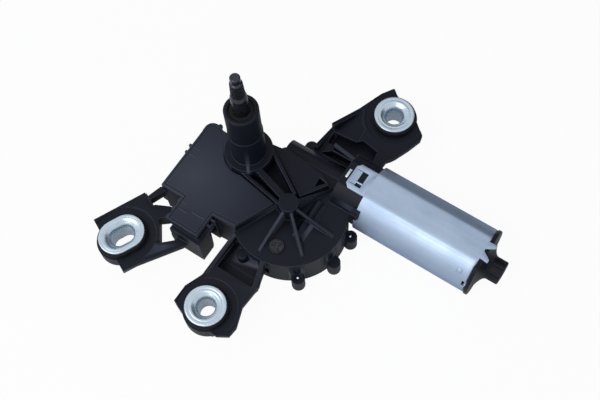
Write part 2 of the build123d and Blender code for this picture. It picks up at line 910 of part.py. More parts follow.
# Ring seal in the mouth of the tower
with BuildPart() as spindle_seal:
    extrude(
        upright_rings((0, 0), tower_top - seal_recess, bush_outer_r, spindle_r + seal_clearance),
        amount=-seal_height,
    )
spindle_seal.part.label = "spindle_seal"
export_step(spindle_seal.part, "parts/spindle_seal.step")

# Output spindle: journals, shank, grooved cone and threaded stud
with BuildPart() as output_spindle:
    with BuildSketch(Plane.XZ):
        Polygon(
            (0, journal_bottom),
            (journal_r, journal_bottom),
            (journal_r, rod_bottom),
            (spindle_r, rod_bottom),
            (spindle_r, shank_top),
            (cone_bottom_r, cone_bottom),
            (0, cone_bottom),
            align=None,
        )
    revolve(axis=Axis.Z)
    loft([star_ring(cone_bottom_r, cone_bottom), star_ring(cone_top_r, cone_top)], ruled=True)
    with BuildSketch(Plane.XZ):
        Polygon(
            (0, cone_top),
            (cone_top_r - groove_depth, cone_top),
            (stud_neck_r, stud_neck_bottom),
            (stud_neck_r, stud_neck_top),
            (stud_r, stud_neck_top),
            (stud_r, stud_top - stud_chamfer),
            (stud_r - stud_chamfer, stud_top),
            (0, stud_top),
            align=None,
        )
    revolve(axis=Axis.Z)
    # Grooves for the two retaining rings
    extrude(
        upright_rings((0, 0), circlip_z, spindle_r + 1.0, circlip_groove_r),
        amount=clip_t,
        mode=Mode.SUBTRACT,
    )
    extrude(
        upright_rings((0, 0), lower_clip_z, journal_r + 1.0, lower_groove_r),
        amount=lower_clip_t,
        mode=Mode.SUBTRACT,
    )
output_spindle.part.label = "output_spindle"
export_step(output_spindle.part, "parts/output_spindle.step")

with BuildPart() as spindle_circlip:
    extrude(upright_rings((0, 0), circlip_z, circlip_r, circlip_groove_r), amount=clip_t)
    add(
        box_at(0, circlip_r + clip_gap, -clip_mouth, clip_mouth, circlip_z, circlip_z + clip_t),
        mode=Mode.SUBTRACT,
    )
spindle_circlip.part.label = "spindle_circlip"
export_step(spindle_circlip.part, "parts/spindle_circlip.step")

with BuildPart() as spindle_clip:
    extrude(upright_rings((0, 0), lower_clip_z, circlip_r, lower_groove_r), amount=lower_clip_t)
    add(
        box_at(0, circlip_r + clip_gap, -clip_mouth, clip_mouth, lower_clip_z, lower_clip_z + lower_clip_t),
        mode=Mode.SUBTRACT,
    )
spindle_clip.part.label = "spindle_clip"
export_step(spindle_clip.part, "parts/spindle_clip.step")

# Pinion pressed on the spindle, with a tooth on the line to the sector pin
with BuildPart() as spindle_pinion:
    with BuildSketch(Plane.XY.offset(rod_bottom)):
        outline = []
        for number in range(pinion_teeth):
            outline += tooth_outline(pinion_teeth, (0, 0), rest_angle, number * 360.0 / pinion_teeth)
        Polygon(*outline, align=None)
        Circle(spindle_r, mode=Mode.SUBTRACT)
    extrude(amount=rod_t)
spindle_pinion.part.label = "spindle_pinion"
export_step(spindle_pinion.part, "parts/spindle_pinion.step")

with BuildPart() as spindle_washer:
    extrude(upright_rings((0, 0), rod_top, washer_r, spindle_r), amount=washer_t)
spindle_washer.part.label = "spindle_washer"
export_step(spindle_washer.part, "parts/spindle_washer.step")

# Rocker link between the spindle's lower journal and the sector pin
with BuildPart() as rocker_link:
    extrude(upright_rings((0, 0), link_bottom, rocker_eye_r), amount=link_t)
    extrude(upright_rings(sector_pin_point, link_bottom, pivot_eye_r), amount=link_t)
    extrude(bar((0, 0), sector_pin_point, rocker_w, link_bottom), amount=link_t)
    extrude(
        upright_rings((0, 0), link_bottom, journal_r + pivot_clearance),
        amount=link_t,
        mode=Mode.SUBTRACT,
    )
    extrude(upright_rings(sector_pin_point, link_bottom, sector_pin_r), amount=link_t, mode=Mode.SUBTRACT)
rocker_link.part.label = "rocker_link"
export_step(rocker_link.part, "parts/rocker_link.step")

with BuildPart() as sector_pin:
    extrude(upright_rings(sector_pin_point, link_bottom, pin_head_r), amount=-pin_head_t)
    extrude(upright_rings(sector_pin_point, link_bottom, sector_pin_r), amount=pin_top - link_bottom)
sector_pin.part.label = "sector_pin"
export_step(sector_pin.part, "parts/sector_pin.step")

# Sector rod: toothed sector round the sector pin, and the rod to the crank
with BuildPart() as sector_rod:
    with BuildSketch(Plane.XY.offset(rod_bottom)):
        contact_angle = rest_angle + 180.0
        root_r = sector_pitch_r - 1.25 * gear_module
        pitch_step = 360.0 / sector_teeth
        first = contact_angle - 1.5 * pitch_step
        last = contact_angle + 3.5 * pitch_step
        edge = pitch_step / 2
        fan = [sector_pin_point]
        for step in range(13):
            angle = first - edge + (last - first + 2 * edge) * step / 12
            fan.append(polar(sector_pin_point, root_r + 0.1, angle))
        Polygon(*fan, align=None)
        for number in range(6):
            middle = first + number * pitch_step
            outline = tooth_outline(sector_teeth, sector_pin_point, middle, 0.0)
            Polygon(*outline, sector_pin_point, align=None)
        with Locations(sector_pin_point):
            Circle(sector_eye_r)
        with Locations(crank_point):
            Circle(pivot_eye_r)
        add(bar(sector_pin_point, crank_point, rod_width, rod_bottom))
        with Locations(sector_pin_point):
            Circle(sector_pin_r + pivot_clearance, mode=Mode.SUBTRACT)
        with Locations(crank_point):
            Circle(crank_pin_r, mode=Mode.SUBTRACT)
    extrude(amount=rod_t)
sector_rod.part.label = "sector_rod"
export_step(sector_rod.part, "parts/sector_rod.step")

with BuildPart() as crank_pin:
    extrude(upright_rings(crank_point, rod_bottom, crank_pin_r), amount=pin_top - rod_bottom)
crank_pin.part.label = "crank_pin"
export_step(crank_pin.part, "parts/crank_pin.step")

# Worm wheel: helical rim, web, hub, recesses and the crank's hole
lead = pi * worm_module
twist_per_mm = degrees(lead / (2 * pi * worm_pitch_r)) / wheel_pitch_r
with BuildPart() as worm_wheel:
    with BuildSketch() as rim:
        outline = []
        first = 90.0 + (wheel_bottom - shaft_z) * twist_per_mm
        for number in range(wheel_teeth):
            middle = first + number * 360.0 / wheel_teeth
            root_half = degrees(tooth_root_w / 2 / wheel_root_r)
            tip_half = degrees(tooth_tip_w / 2 / wheel_tip_r)
            outline.append(polar(wheel_centre, wheel_root_r, middle - root_half))
            outline.append(polar(wheel_centre, wheel_tip_r, middle - tip_half))
            outline.append(polar(wheel_centre, wheel_tip_r, middle + tip_half))
            outline.append(polar(wheel_centre, wheel_root_r, middle + root_half))
        Polygon(*outline, align=None)
    rim_face = rim.sketch.face().moved(Location((0, 0, wheel_bottom)))
    centre = (wheel_x, wheel_y, wheel_bottom)
    add(Solid.extrude_linear_with_rotation(rim_face, centre, (0, 0, wheel_h), wheel_h * twist_per_mm))
    extrude(
        upright_rings(wheel_centre, wheel_top, wheel_rim_r, wheel_hub_r),
        amount=-wheel_recess,
        mode=Mode.SUBTRACT,
    )
    web_bottom = wheel_top - wheel_recess - wheel_web_t
    extrude(
        upright_rings(wheel_centre, wheel_bottom, wheel_rim_r, wheel_boss_r),
        amount=web_bottom - wheel_bottom,
        mode=Mode.SUBTRACT,
    )
    extrude(
        upright_rings(wheel_centre, wheel_bottom, axle_r + pivot_clearance),
        amount=wheel_h,
        mode=Mode.SUBTRACT,
    )
    extrude(
        upright_rings(wheel_centre, wheel_bottom, clip_r + clip_gap),
        amount=axle_clip_z + clip_t + clip_gap - wheel_bottom,
        mode=Mode.SUBTRACT,
    )
    extrude(
        upright_rings(crank_point, wheel_bottom, crank_pin_r + clip_gap),
        amount=crank_hole_depth,
        mode=Mode.SUBTRACT,
    )
worm_wheel.part.label = "worm_wheel"
export_step(worm_wheel.part, "parts/worm_wheel.step")

with BuildPart() as wheel_axle:
    extrude(upright_rings(wheel_centre, wheel_bottom, axle_r), amount=axle_top - wheel_bottom)
    extrude(
        upright_rings(wheel_centre, axle_clip_z, axle_r + 1.0, axle_groove_r),
        amount=clip_t,
        mode=Mode.SUBTRACT,
    )
wheel_axle.part.label = "wheel_axle"
export_step(wheel_axle.part, "parts/wheel_axle.step")

with BuildPart() as axle_clip:
    extrude(upright_rings(wheel_centre, axle_clip_z, clip_r, axle_groove_r), amount=clip_t)
    add(
        box_at(
            wheel_x,
            wheel_x + clip_r + clip_gap,
            wheel_y - clip_slot / 2,
            wheel_y + clip_slot / 2,
            axle_clip_z,
            axle_clip_z + clip_t,
        ),
        mode=Mode.SUBTRACT,
    )
axle_clip.part.label = "axle_clip"
export_step(axle_clip.part, "parts/axle_clip.step")

# Park switch: a notched disc on the wheel and three contact fingers over it
disc_z = wheel_top - wheel_recess
outer_finger_r = disc_outer_r - finger_margin
finger_radii = [outer_finger_r - finger_pitch * number for number in range(finger_count)]
with BuildPart() as park_contact_disc:
    extrude(
        upright_rings(wheel_centre, disc_z, disc_outer_r, disc_inner_r),
        amount=contact_disc_t,
    )
    disc_notch = box_at(
        wheel_x - disc_outer_r - disc_clearance,
        wheel_x - finger_radii[1] + finger_width / 2,
        wheel_y + disc_notch_start,
        wheel_y + disc_notch_start + disc_notch_w,
        disc_z,
        disc_z + contact_disc_t,
    )
    add(disc_notch, mode=Mode.SUBTRACT)
park_contact_disc.part.label = "park_contact_disc"
export_step(park_contact_disc.part, "parts/park_contact_disc.step")

with BuildPart() as park_contacts:
    base_top = roof_inner
    base_bottom = roof_inner - contact_base_t
    tip_z = disc_z + contact_disc_t + contact_gap
    add(
        box_at(
            wheel_x - finger_radii[0] - contact_base_edge,
            wheel_x - finger_radii[-1] + contact_base_edge,
            wheel_y - contact_base_w,
            wheel_y,
            base_bottom,
            base_top,
        )
    )
    for radius in finger_radii:
        add(
            rib(
                (wheel_x - radius, wheel_y - contact_base_w),
                (wheel_x - radius, wheel_y - contact_base_w + finger_foot),
                finger_width,
                tip_z,
                base_top,
                base_top,
            )
        )
park_contacts.part.label = "park_contacts"
export_step(park_contacts.part, "parts/park_contacts.step")

# Armature shaft, stepped at both ends
with BuildPart() as armature_shaft:
    extrude(shaft_rings(worm_bush_start, front_journal_r), amount=worm_end - worm_bush_start)
    extrude(shaft_rings(worm_end, shaft_r), amount=rear_journal_start - worm_end)
    extrude(shaft_rings(rear_journal_start, rear_journal_r), amount=shaft_end - rear_journal_start)
armature_shaft.part.label = "armature_shaft"
export_step(armature_shaft.part, "parts/armature_shaft.step")

# Worm pressed on the shaft's front end, with a round-bottomed thread
worm_turns = worm_length / lead
with BuildPart() as drive_worm:
    extrude(shaft_rings(core_start_x, worm_core_r), amount=worm_end - core_start_x)
    first = -360.0 * worm_turns / 2
    start_y = shaft_y + worm_depth * cos(radians(first))
    start_z = shaft_z + worm_depth * sin(radians(first))
    thread_plane = Plane(origin=(worm_start, start_y, start_z), z_dir=(1, 0, 0))
    thread_face = Face(Wire.make_circle(worm_pitch_r, thread_plane))
    centre = (worm_start, shaft_y, shaft_z)
    add(Solid.extrude_linear_with_rotation(thread_face, centre, (worm_length, 0, 0), 360.0 * worm_turns))
    extrude(
        shaft_rings(core_start_x, front_journal_r),
        amount=worm_end - core_start_x,
        mode=Mode.SUBTRACT,
    )
drive_worm.part.label = "drive_worm"
export_step(drive_worm.part, "parts/drive_worm.step")

with BuildPart() as worm_end_bush:
    extrude(
        shaft_rings(worm_bush_start, tunnel_bore_r, front_journal_r + pivot_clearance),
        amount=worm_bush_end - worm_bush_start,
    )
worm_end_bush.part.label = "worm_end_bush"
export_step(worm_end_bush.part, "parts/worm_end_bush.step")

with BuildPart() as thrust_pad:
    extrude(shaft_rings(tunnel_start + wall, tunnel_bore_r), amount=thrust_pad_t)
thrust_pad.part.label = "thrust_pad"
export_step(thrust_pad.part, "parts/thrust_pad.step")

with BuildPart() as front_bearing:
    extrude(shaft_rings(bearing_start, bearing_r, shaft_r + pivot_clearance), amount=bearing_t)
front_bearing.part.label = "front_bearing"
export_step(front_bearing.part, "parts/front_bearing.step")

with BuildPart() as bearing_clip:
    extrude(shaft_rings(bearing_start + bearing_t, bearing_r, clip_r), amount=clip_t)
bearing_clip.part.label = "bearing_clip"
export_step(bearing_clip.part, "parts/bearing_clip.step")

# Armature: slotted core, windings and commutator
slot_middle = (slot_bottom_r + slot_top_r) / 2
with BuildPart() as lamination_core:
    extrude(shaft_rings(core_start, core_r, shaft_r), amount=core_length)
    with BuildSketch(Plane.YZ.offset(core_start)):
        with Locations((shaft_y, shaft_z)):
            with PolarLocations(slot_middle, core_slots):
                Rectangle(slot_top_r - slot_bottom_r, slot_w)
            with PolarLocations(core_r, core_slots):
                Rectangle(2 * (core_r - slot_top_r) + 0.2, slot_mouth)
    extrude(amount=core_length, mode=Mode.SUBTRACT)
lamination_core.part.label = "lamination_core"
export_step(lamination_core.part, "parts/lamination_core.step")

with BuildPart() as armature_windings:
    extrude(shaft_rings(core_start, winding_r, winding_inner_r), amount=-winding_t)
    extrude(shaft_rings(core_start + core_length, winding_r, winding_inner_r), amount=winding_t)
    with BuildSketch(Plane.YZ.offset(core_start)):
        with Locations((shaft_y, shaft_z)):
            with PolarLocations(slot_middle, core_slots):
                Rectangle(slot_top_r - slot_bottom_r - 0.8, winding_bar_w)
    extrude(amount=core_length)
armature_windings.part.label = "armature_windings"
export_step(armature_windings.part, "parts/armature_windings.step")

with BuildPart() as commutator:
    extrude(shaft_rings(commutator_start, commutator_r, shaft_r), amount=commutator_length)
    with BuildSketch(Plane.YZ.offset(commutator_start)):
        with Locations((shaft_y, shaft_z)):
            with PolarLocations(commutator_r, core_slots, start_angle=18):
                Rectangle(2 * commutator_slit_depth, commutator_slit)
    extrude(amount=commutator_length, mode=Mode.SUBTRACT)
commutator.part.label = "commutator"
export_step(commutator.part, "parts/commutator.step")

# Motor can: drawn steel cup with a locking tab, two fingers and the rear bearing's cup
with BuildPart() as motor_can:
    extrude(can_plan(can_start, can_r, can_flat), amount=can_length)
    extrude(shaft_rings(can_end, cup_r), amount=cup_length)
    extrude(
        can_plan(can_start, can_inner_r, can_inner_flat),
        amount=can_length - can_wall,
        mode=Mode.SUBTRACT,
    )
    extrude(
        shaft_rings(can_start, cup_r - can_wall),
        amount=can_length + cup_length - can_wall,
        mode=Mode.SUBTRACT,
    )
    # Locking tab on the neck's flat, with its window
    tab_start = can_start - tab_length
    tab_half = tab_width / 2
    with BuildSketch(Plane.XY.offset(neck_top)):
        Polygon(
            (can_start, shaft_y - tab_half),
            (can_start, shaft_y + tab_half),
            (tab_start + tab_chamfer, shaft_y + tab_half),
            (tab_start, shaft_y + tab_half - tab_chamfer),
            (tab_start, shaft_y - tab_half + tab_chamfer),
            (tab_start + tab_chamfer, shaft_y - tab_half),
            align=None,
        )
        with Locations((tab_start + window_start + window_l / 2, shaft_y)):
            Rectangle(window_l, window_w, mode=Mode.SUBTRACT)
    extrude(amount=can_wall)
    # Two fingers folded apart over the end cap's flange
    with BuildSketch(Plane.XY.offset(neck_top)):
        for side in (-1, 1):
            root_y = shaft_y + side * finger_root
            tip_y = shaft_y + side * finger_tip
            Polygon(
                (can_end - finger_overlap, shaft_y),
                (can_end - finger_overlap, root_y),
                (can_end + finger_overlap, root_y),
                (can_end + finger_l, tip_y + side * finger_tip_w / 2),
                (can_end + finger_l, tip_y - side * finger_tip_w / 2),
                (can_end + finger_overlap, shaft_y),
                align=None,
            )
    extrude(amount=can_wall)
    # Notches at the front and rear edges
    with BuildSketch(Plane.YZ.offset(can_start)):
        with Locations((shaft_y - notch_y, shaft_z + notch_z)):
            Rectangle(notch_w, notch_w)
    extrude(amount=notch_l, mode=Mode.SUBTRACT)
    with BuildSketch(Plane.YZ.offset(can_end)):
        with Locations((shaft_y - rear_notch_y, shaft_z + rear_notch_z)):
            Rectangle(rear_notch_w, rear_notch_w)
    extrude(amount=-notch_l, mode=Mode.SUBTRACT)
motor_can.part.label = "motor_can"
export_step(motor_can.part, "parts/motor_can.step")

with BuildPart() as rear_bearing:
    extrude(
        shaft_rings(can_end, cup_r - can_wall, rear_journal_r + pivot_clearance),
        amount=rear_bearing_t,
    )
rear_bearing.part.label = "rear_bearing"
export_step(rear_bearing.part, "parts/rear_bearing.step")

# Field magnets: two arcs on the can's inner face
with BuildPart() as field_magnets:
    with BuildSketch(Plane.YZ.offset(magnet_start)):
        with Locations((shaft_y, shaft_z)):
            Circle(can_inner_r)
            Circle(can_inner_r - magnet_t, mode=Mode.SUBTRACT)
        reach = 2 * can_r
        for start in (magnet_half_angle, magnet_half_angle + 180.0):
            middle = (shaft_y, shaft_z)
            opening = 180.0 - 2 * magnet_half_angle
            Polygon(
                middle,
                polar(middle, reach, start),
                polar(middle, reach, start + opening / 2),
                polar(middle, reach, start + opening),
                align=None,
                mode=Mode.SUBTRACT,
            )
    extrude(amount=magnet_length)
field_magnets.part.label = "field_magnets"
export_step(field_magnets.part, "parts/field_magnets.step")

# End cap: flange, trumpet and notched knob over the rear bearing's cup
with BuildPart() as end_cap:
    extrude(can_plan(can_end, can_r + cap_lip, can_inner_flat), amount=cap_flange_t)
    trumpet_x = can_end + cap_flange_t
    with BuildSketch(Plane.XY.offset(shaft_z)):
        with BuildLine():
            Polyline(
                (cap_end, shaft_y),
                (trumpet_x, shaft_y),
                (trumpet_x, shaft_y + cap_trumpet_r),
            )
            ThreePointArc(
                (trumpet_x, shaft_y + cap_trumpet_r),
                (cap_waist_x, shaft_y + cap_waist_r),
                (cap_knob_start, shaft_y + cap_knob_r),
            )
            Polyline(
                (cap_knob_start, shaft_y + cap_knob_r),
                (cap_end, shaft_y + cap_knob_r),
                (cap_end, shaft_y),
            )
        make_face()
    revolve(axis=Axis((0, shaft_y, shaft_z), (1, 0, 0)))
    extrude(
        shaft_rings(can_end, cup_r + cap_clearance),
        amount=cup_length + cap_clearance,
        mode=Mode.SUBTRACT,
    )
    with BuildSketch(Plane.YZ.offset(cap_end)):
        with Locations((shaft_y, shaft_z)):
            with PolarLocations(cap_knob_r, cap_notches):
                Rectangle(2 * cap_notch_depth, cap_notch_w)
    extrude(amount=cap_knob_start + 1.0 - cap_end, mode=Mode.SUBTRACT)
end_cap.part.label = "end_cap"
export_step(end_cap.part, "parts/end_cap.step")

# Brush gear on a plate against the neck's spigot
with BuildPart() as brush_plate:
    extrude(can_plan(spigot_end, can_inner_r - 0.3, can_inner_flat - 0.3), amount=brush_plate_t)
    extrude(shaft_rings(spigot_end, commutator_r + 1.5), amount=brush_plate_t, mode=Mode.SUBTRACT)
brush_plate.part.label = "brush_plate"
export_step(brush_plate.part, "parts/brush_plate.step")

brush_x = spigot_end + brush_plate_t + holder_wall
brush_start = commutator_r + brush_gap
brush_end = brush_start + brush_length
holder_start = brush_start + 0.7
holder_end = brush_end + spring_travel + holder_wall
with BuildPart() as brush_holders:
    for side in (-1, 1):
        with BuildSketch(Plane.YZ.offset(brush_x - holder_wall)):
            with Locations((shaft_y + side * (holder_start + holder_end) / 2, shaft_z)):
                Rectangle(holder_end - holder_start, brush_h + 2 * holder_wall)
        extrude(amount=brush_w + 2 * holder_wall)
        with BuildSketch(Plane.YZ.offset(brush_x)):
            with Locations((shaft_y + side * (holder_start + brush_end + spring_travel) / 2, shaft_z)):
                Rectangle(brush_end + spring_travel - holder_start, brush_h)
        extrude(amount=brush_w, mode=Mode.SUBTRACT)
brush_holders.part.label = "brush_holders"
export_step(brush_holders.part, "parts/brush_holders.step")

with BuildPart() as carbon_brushes:
    for side in (-1, 1):
        with BuildSketch(Plane.YZ.offset(brush_x)):
            with Locations((shaft_y + side * (brush_start + brush_end) / 2, shaft_z)):
                Rectangle(brush_length, brush_h)
        extrude(amount=brush_w)
carbon_brushes.part.label = "carbon_brushes"
export_step(carbon_brushes.part, "parts/carbon_brushes.step")

with BuildPart() as brush_springs:
    for side in (-1, 1):
        near = shaft_y + side * (brush_end + 1.2 * spring_t)
        far = shaft_y + side * (brush_end + spring_travel - 1.2 * spring_t)
        with BuildSketch(Plane.XY.offset(shaft_z - brush_h / 3)):
            with BuildLine():
                Polyline(
                    (brush_x + 0.3, near),
                    (brush_x + 1.1, far),
                    (brush_x + 1.9, near),
                    (brush_x + 2.7, far),
                    (brush_x + 3.5, near),
                    (brush_x + brush_w - 0.3, far),
                )
            trace(line_width=spring_t)
        extrude(amount=brush_h * 2 / 3)
brush_springs.part.label = "brush_springs"
export_step(brush_springs.part, "parts/brush_springs.step")

with BuildPart() as choke_coils:
    for side in (-1, 1):
        place = (shaft_y + side * choke_offset, shaft_z - choke_offset)
        with BuildSketch(Plane.YZ.offset(spigot_end)):
            with Locations(place):
                Circle(choke_r - 0.5)
        extrude(amount=-choke_length)
        for ring in range(choke_turns):
            with BuildSketch(Plane.YZ.offset(spigot_end - (ring + 0.4) * choke_length / choke_turns)):
                with Locations(place):
                    Circle(choke_r)
            extrude(amount=-0.55 * choke_length / choke_turns)
choke_coils.part.label = "choke_coils"
export_step(choke_coils.part, "parts/choke_coils.step")

with BuildPart() as motor_terminals:
    for side in (-1, 1):
        with BuildSketch(Plane.YZ.offset(neck_floor)):
            with Locations((shaft_y + side * blade_y, shaft_z + blade_z)):
                Rectangle(blade_w, blade_t)
        extrude(amount=spigot_end - neck_floor)
motor_terminals.part.label = "motor_terminals"
export_step(motor_terminals.part, "parts/motor_terminals.step")

# Electronics: lid, board and the parts that hang under the board
with BuildPart() as electronics_cover:
    with BuildSketch(Plane.XY.offset(lid_bottom)):
        Polygon(*box_plan, align=None)
        Polygon(*rectangle(socket_left, socket_right, socket_lid_front, box_front), align=None)
        Circle(lobe_r + lid_gap, mode=Mode.SUBTRACT)
    extrude(amount=lid_t)
    wall_start, wall_end, wall_w = tower_walls[0]
    add(
        rib(wall_start, wall_end, wall_w + 2 * lid_gap, lid_bottom, lid_top, lid_top),
        mode=Mode.SUBTRACT,
    )
    chamfer(electronics_cover.edges().group_by(Axis.Z)[-1], length=lid_edge)
    # Snap clips down the sides of the tongue
    for y in snap_places:
        add(
            box_at(
                socket_left - snap_t,
                socket_left + lid_edge,
                y - snap_w / 2,
                y + snap_w / 2,
                lid_bottom,
                lid_top - lid_edge,
            )
        )
        add(
            box_at(
                socket_left - snap_t,
                socket_left,
                y - snap_w / 2,
                y + snap_w / 2,
                lid_bottom - snap_drop,
                lid_bottom,
            )
        )
electronics_cover.part.label = "electronics_cover"
export_step(electronics_cover.part, "parts/electronics_cover.step")

with BuildPart() as circuit_board:
    extrude(deep_room(board_z, board_gap), amount=board_t)
circuit_board.part.label = "circuit_board"
export_step(circuit_board.part, "parts/circuit_board.step")

with BuildPart() as park_relay:
    add(box_at(relay_x, relay_x + relay_l, relay_y, relay_y + relay_w, board_z - component_h, board_z))
    fillet(park_relay.edges().filter_by(Axis.Z), radius=1.0)
park_relay.part.label = "park_relay"
export_step(park_relay.part, "parts/park_relay.step")

with BuildPart() as capacitors:
    with BuildSketch(Plane.XY.offset(board_z)):
        with Locations(*capacitor_places):
            Circle(capacitor_r)
    extrude(amount=-component_h)
capacitors.part.label = "capacitors"
export_step(capacitors.part, "parts/capacitors.step")

with BuildPart() as connector_terminals:
    add(contact_pins())
connector_terminals.part.label = "connector_terminals"
export_step(connector_terminals.part, "parts/connector_terminals.step")

# Bottom cover with its seal and screws
with BuildPart() as bottom_cover:
    extrude(cover_plan(cover_bottom), amount=cover_t)
    extrude(upright_rings((0, 0), cover_bottom, spindle_foot_r), amount=foot_bottom - cover_bottom)
    extrude(upright_rings(wheel_centre, cover_bottom, wheel_foot_r), amount=foot_bottom - cover_bottom)
    extrude(screw_holes(cover_bottom, screw_r + screw_clearance), amount=cover_t, mode=Mode.SUBTRACT)
bottom_cover.part.label = "bottom_cover"
export_step(bottom_cover.part, "parts/bottom_cover.step")

with BuildPart() as bottom_seal:
    with BuildSketch(Plane.XY.offset(cover_top)):
        add(cover_plan(cover_top))
        add(lower_room(cover_top), mode=Mode.SUBTRACT)
        with Locations(*outer_bosses, tunnel_boss):
            Circle(screw_r + screw_clearance, mode=Mode.SUBTRACT)
        with Locations(*inner_bosses):
            Circle(boss_r, mode=Mode.SUBTRACT)
    extrude(amount=seal_t)
bottom_seal.part.label = "bottom_seal"
export_step(bottom_seal.part, "parts/bottom_seal.step")

with BuildPart() as cover_screws:
    extrude(screw_holes(cover_bottom, screw_head_r), amount=-screw_head_t)
    extrude(screw_holes(cover_bottom, screw_r), amount=screw_length)
    with BuildSketch(Plane.XY.offset(cover_bottom - screw_head_t)):
        with Locations(*screw_points):
            RegularPolygon(radius=screw_r, side_count=6)
    extrude(amount=screw_head_t / 2, mode=Mode.SUBTRACT)
cover_screws.part.label = "cover_screws"
export_step(cover_screws.part, "parts/cover_screws.step")

with BuildPart() as vent_plug:
    with BuildSketch(Plane.XY.offset(drum_top)):
        with Locations((vent_x, vent_y)):
            Circle(vent_r)
    extrude(amount=vent_h)
    with BuildSketch(Plane.XY.offset(drum_top)):
        with Locations((vent_x, vent_y)):
            Circle(vent_stem_r)
    extrude(amount=-wall)
vent_plug.part.label = "vent_plug"
export_step(vent_plug.part, "parts/vent_plug.step")

with BuildPart() as earth_clip:
    add(box_at(earth_x - 1.2, earth_x + 1.2, earth_y - 1.5, earth_y + 1.5, neck_top, neck_top + 0.8))
    fillet(earth_clip.edges().filter_by(Axis.Z), radius=0.5)
earth_clip.part.label = "earth_clip"
export_step(earth_clip.part, "parts/earth_clip.step")


def make_grommet(seat):
    """Rubber grommet between an arm and a bush, with a lip above and below the arm."""
    x, y, turn, spread, flange_spread, radius = seat
    seat_z = arm_top - seat_depth
    flange_bottom = bush_top - flange_t
    bottom = arm_bottom - grommet_lip_t
    with BuildPart() as grommet:
        extrude(
            round_slot(x, y, turn, flange_spread, radius + grommet_reach, seat_z),
            amount=flange_bottom - seat_z,
        )
        fillet(grommet.edges().group_by(Axis.Z)[-1], radius=0.8)
        extrude(round_slot(x, y, turn, spread, grommet_hole_r, arm_bottom), amount=seat_z - arm_bottom)
        extrude(round_slot(x, y, turn, spread, grommet_lip_r, bottom), amount=grommet_lip_t)
        extrude(
            round_slot(x, y, turn, spread, bolt_hole_r + bush_wall_t, bottom),
            amount=flange_bottom - bottom,
            mode=Mode.SUBTRACT,
        )
    return grommet.part


def make_bush(seat):
    """Flanged steel bush with a dished mouth."""
    x, y, turn, spread, flange_spread, radius = seat
    bottom = arm_bottom - grommet_lip_t
    with BuildPart() as bush:
        extrude(round_slot(x, y, turn, flange_spread, radius, bush_top - flange_t), amount=flange_t)
        fillet(bush.edges().group_by(Axis.Z)[-1], radius=0.5)
        extrude(
            round_slot(x, y, turn, spread, bolt_hole_r + bush_wall_t, bottom),
            amount=bush_top - flange_t - bottom,
        )
        extrude(
            round_slot(x, y, turn, spread, bolt_hole_r, bottom),
            amount=bush_top - bottom,
            mode=Mode.SUBTRACT,
        )
        loft(
            [
                round_slot(x, y, turn, spread, bolt_hole_r, bush_top - dish_depth),
                round_slot(x, y, turn, spread, dish_r, bush_top),
            ],
            mode=Mode.SUBTRACT,
        )
    return bush.part


with BuildPart() as grommet_left:
    add(make_grommet(left_seat))
grommet_left.part.label = "grommet_left"
export_step(grommet_left.part, "parts/grommet_left.step")

with BuildPart() as grommet_lower:
    add(make_grommet(lower_seat))
grommet_lower.part.label = "grommet_lower"
export_step(grommet_lower.part, "parts/grommet_lower.step")

with BuildPart() as grommet_right:
    add(make_grommet(right_seat))
grommet_right.part.label = "grommet_right"
export_step(grommet_right.part, "parts/grommet_right.step")

with BuildPart() as bush_left_slotted:
    add(make_bush(left_seat))
bush_left_slotted.part.label = "bush_left_slotted"
export_step(bush_left_slotted.part, "parts/bush_left_slotted.step")

with BuildPart() as bush_lower:
    add(make_bush(lower_seat))
bush_lower.part.label = "bush_lower"
export_step(bush_lower.part, "parts/bush_lower.step")

with BuildPart() as bush_right:
    add(make_bush(right_seat))
bush_right.part.label = "bush_right"
export_step(bush_right.part, "parts/bush_right.step")
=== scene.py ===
"""Looks of the rear wiper motor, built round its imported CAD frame."""

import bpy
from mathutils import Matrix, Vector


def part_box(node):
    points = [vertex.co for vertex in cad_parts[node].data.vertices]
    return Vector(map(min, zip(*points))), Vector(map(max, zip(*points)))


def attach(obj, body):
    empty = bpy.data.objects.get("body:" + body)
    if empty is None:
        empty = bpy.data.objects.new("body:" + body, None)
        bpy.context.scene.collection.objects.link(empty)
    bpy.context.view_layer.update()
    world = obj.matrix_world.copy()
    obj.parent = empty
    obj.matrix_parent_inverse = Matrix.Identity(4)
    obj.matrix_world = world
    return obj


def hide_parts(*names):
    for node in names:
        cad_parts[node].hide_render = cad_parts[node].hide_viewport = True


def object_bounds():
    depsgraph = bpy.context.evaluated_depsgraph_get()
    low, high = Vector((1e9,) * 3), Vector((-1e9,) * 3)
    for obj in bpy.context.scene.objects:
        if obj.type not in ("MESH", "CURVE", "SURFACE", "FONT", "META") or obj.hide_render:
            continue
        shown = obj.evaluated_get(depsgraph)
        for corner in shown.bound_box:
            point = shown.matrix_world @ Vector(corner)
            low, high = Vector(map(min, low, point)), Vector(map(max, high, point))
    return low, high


bl_info = {
    "name": "Rear wiper motor",
    "version": (1, 0, 0),
    "blender": (4, 5, 0),
    "location": "View3D > Sidebar > Wiper motor",
    "description": "Builds the visible pieces and finishes of a rear wiper motor",
    "category": "Object",
}

from contextlib import contextmanager
from math import atan2, cos, degrees, hypot, pi, radians, sin

import bmesh
import bpy
from mathutils import Euler, Vector

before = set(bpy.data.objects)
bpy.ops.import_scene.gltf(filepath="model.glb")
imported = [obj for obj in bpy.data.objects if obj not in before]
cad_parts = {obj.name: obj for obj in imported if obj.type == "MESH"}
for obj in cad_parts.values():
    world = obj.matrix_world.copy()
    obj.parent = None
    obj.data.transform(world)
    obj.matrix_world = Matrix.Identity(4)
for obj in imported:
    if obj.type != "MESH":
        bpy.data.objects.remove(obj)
cad_low, cad_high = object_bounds()
MM = 0.001

# The motor's axis lies along X, at this place across it and at this height, in metres
SHAFT_Y = 0.0165
SHAFT_Z = -0.017

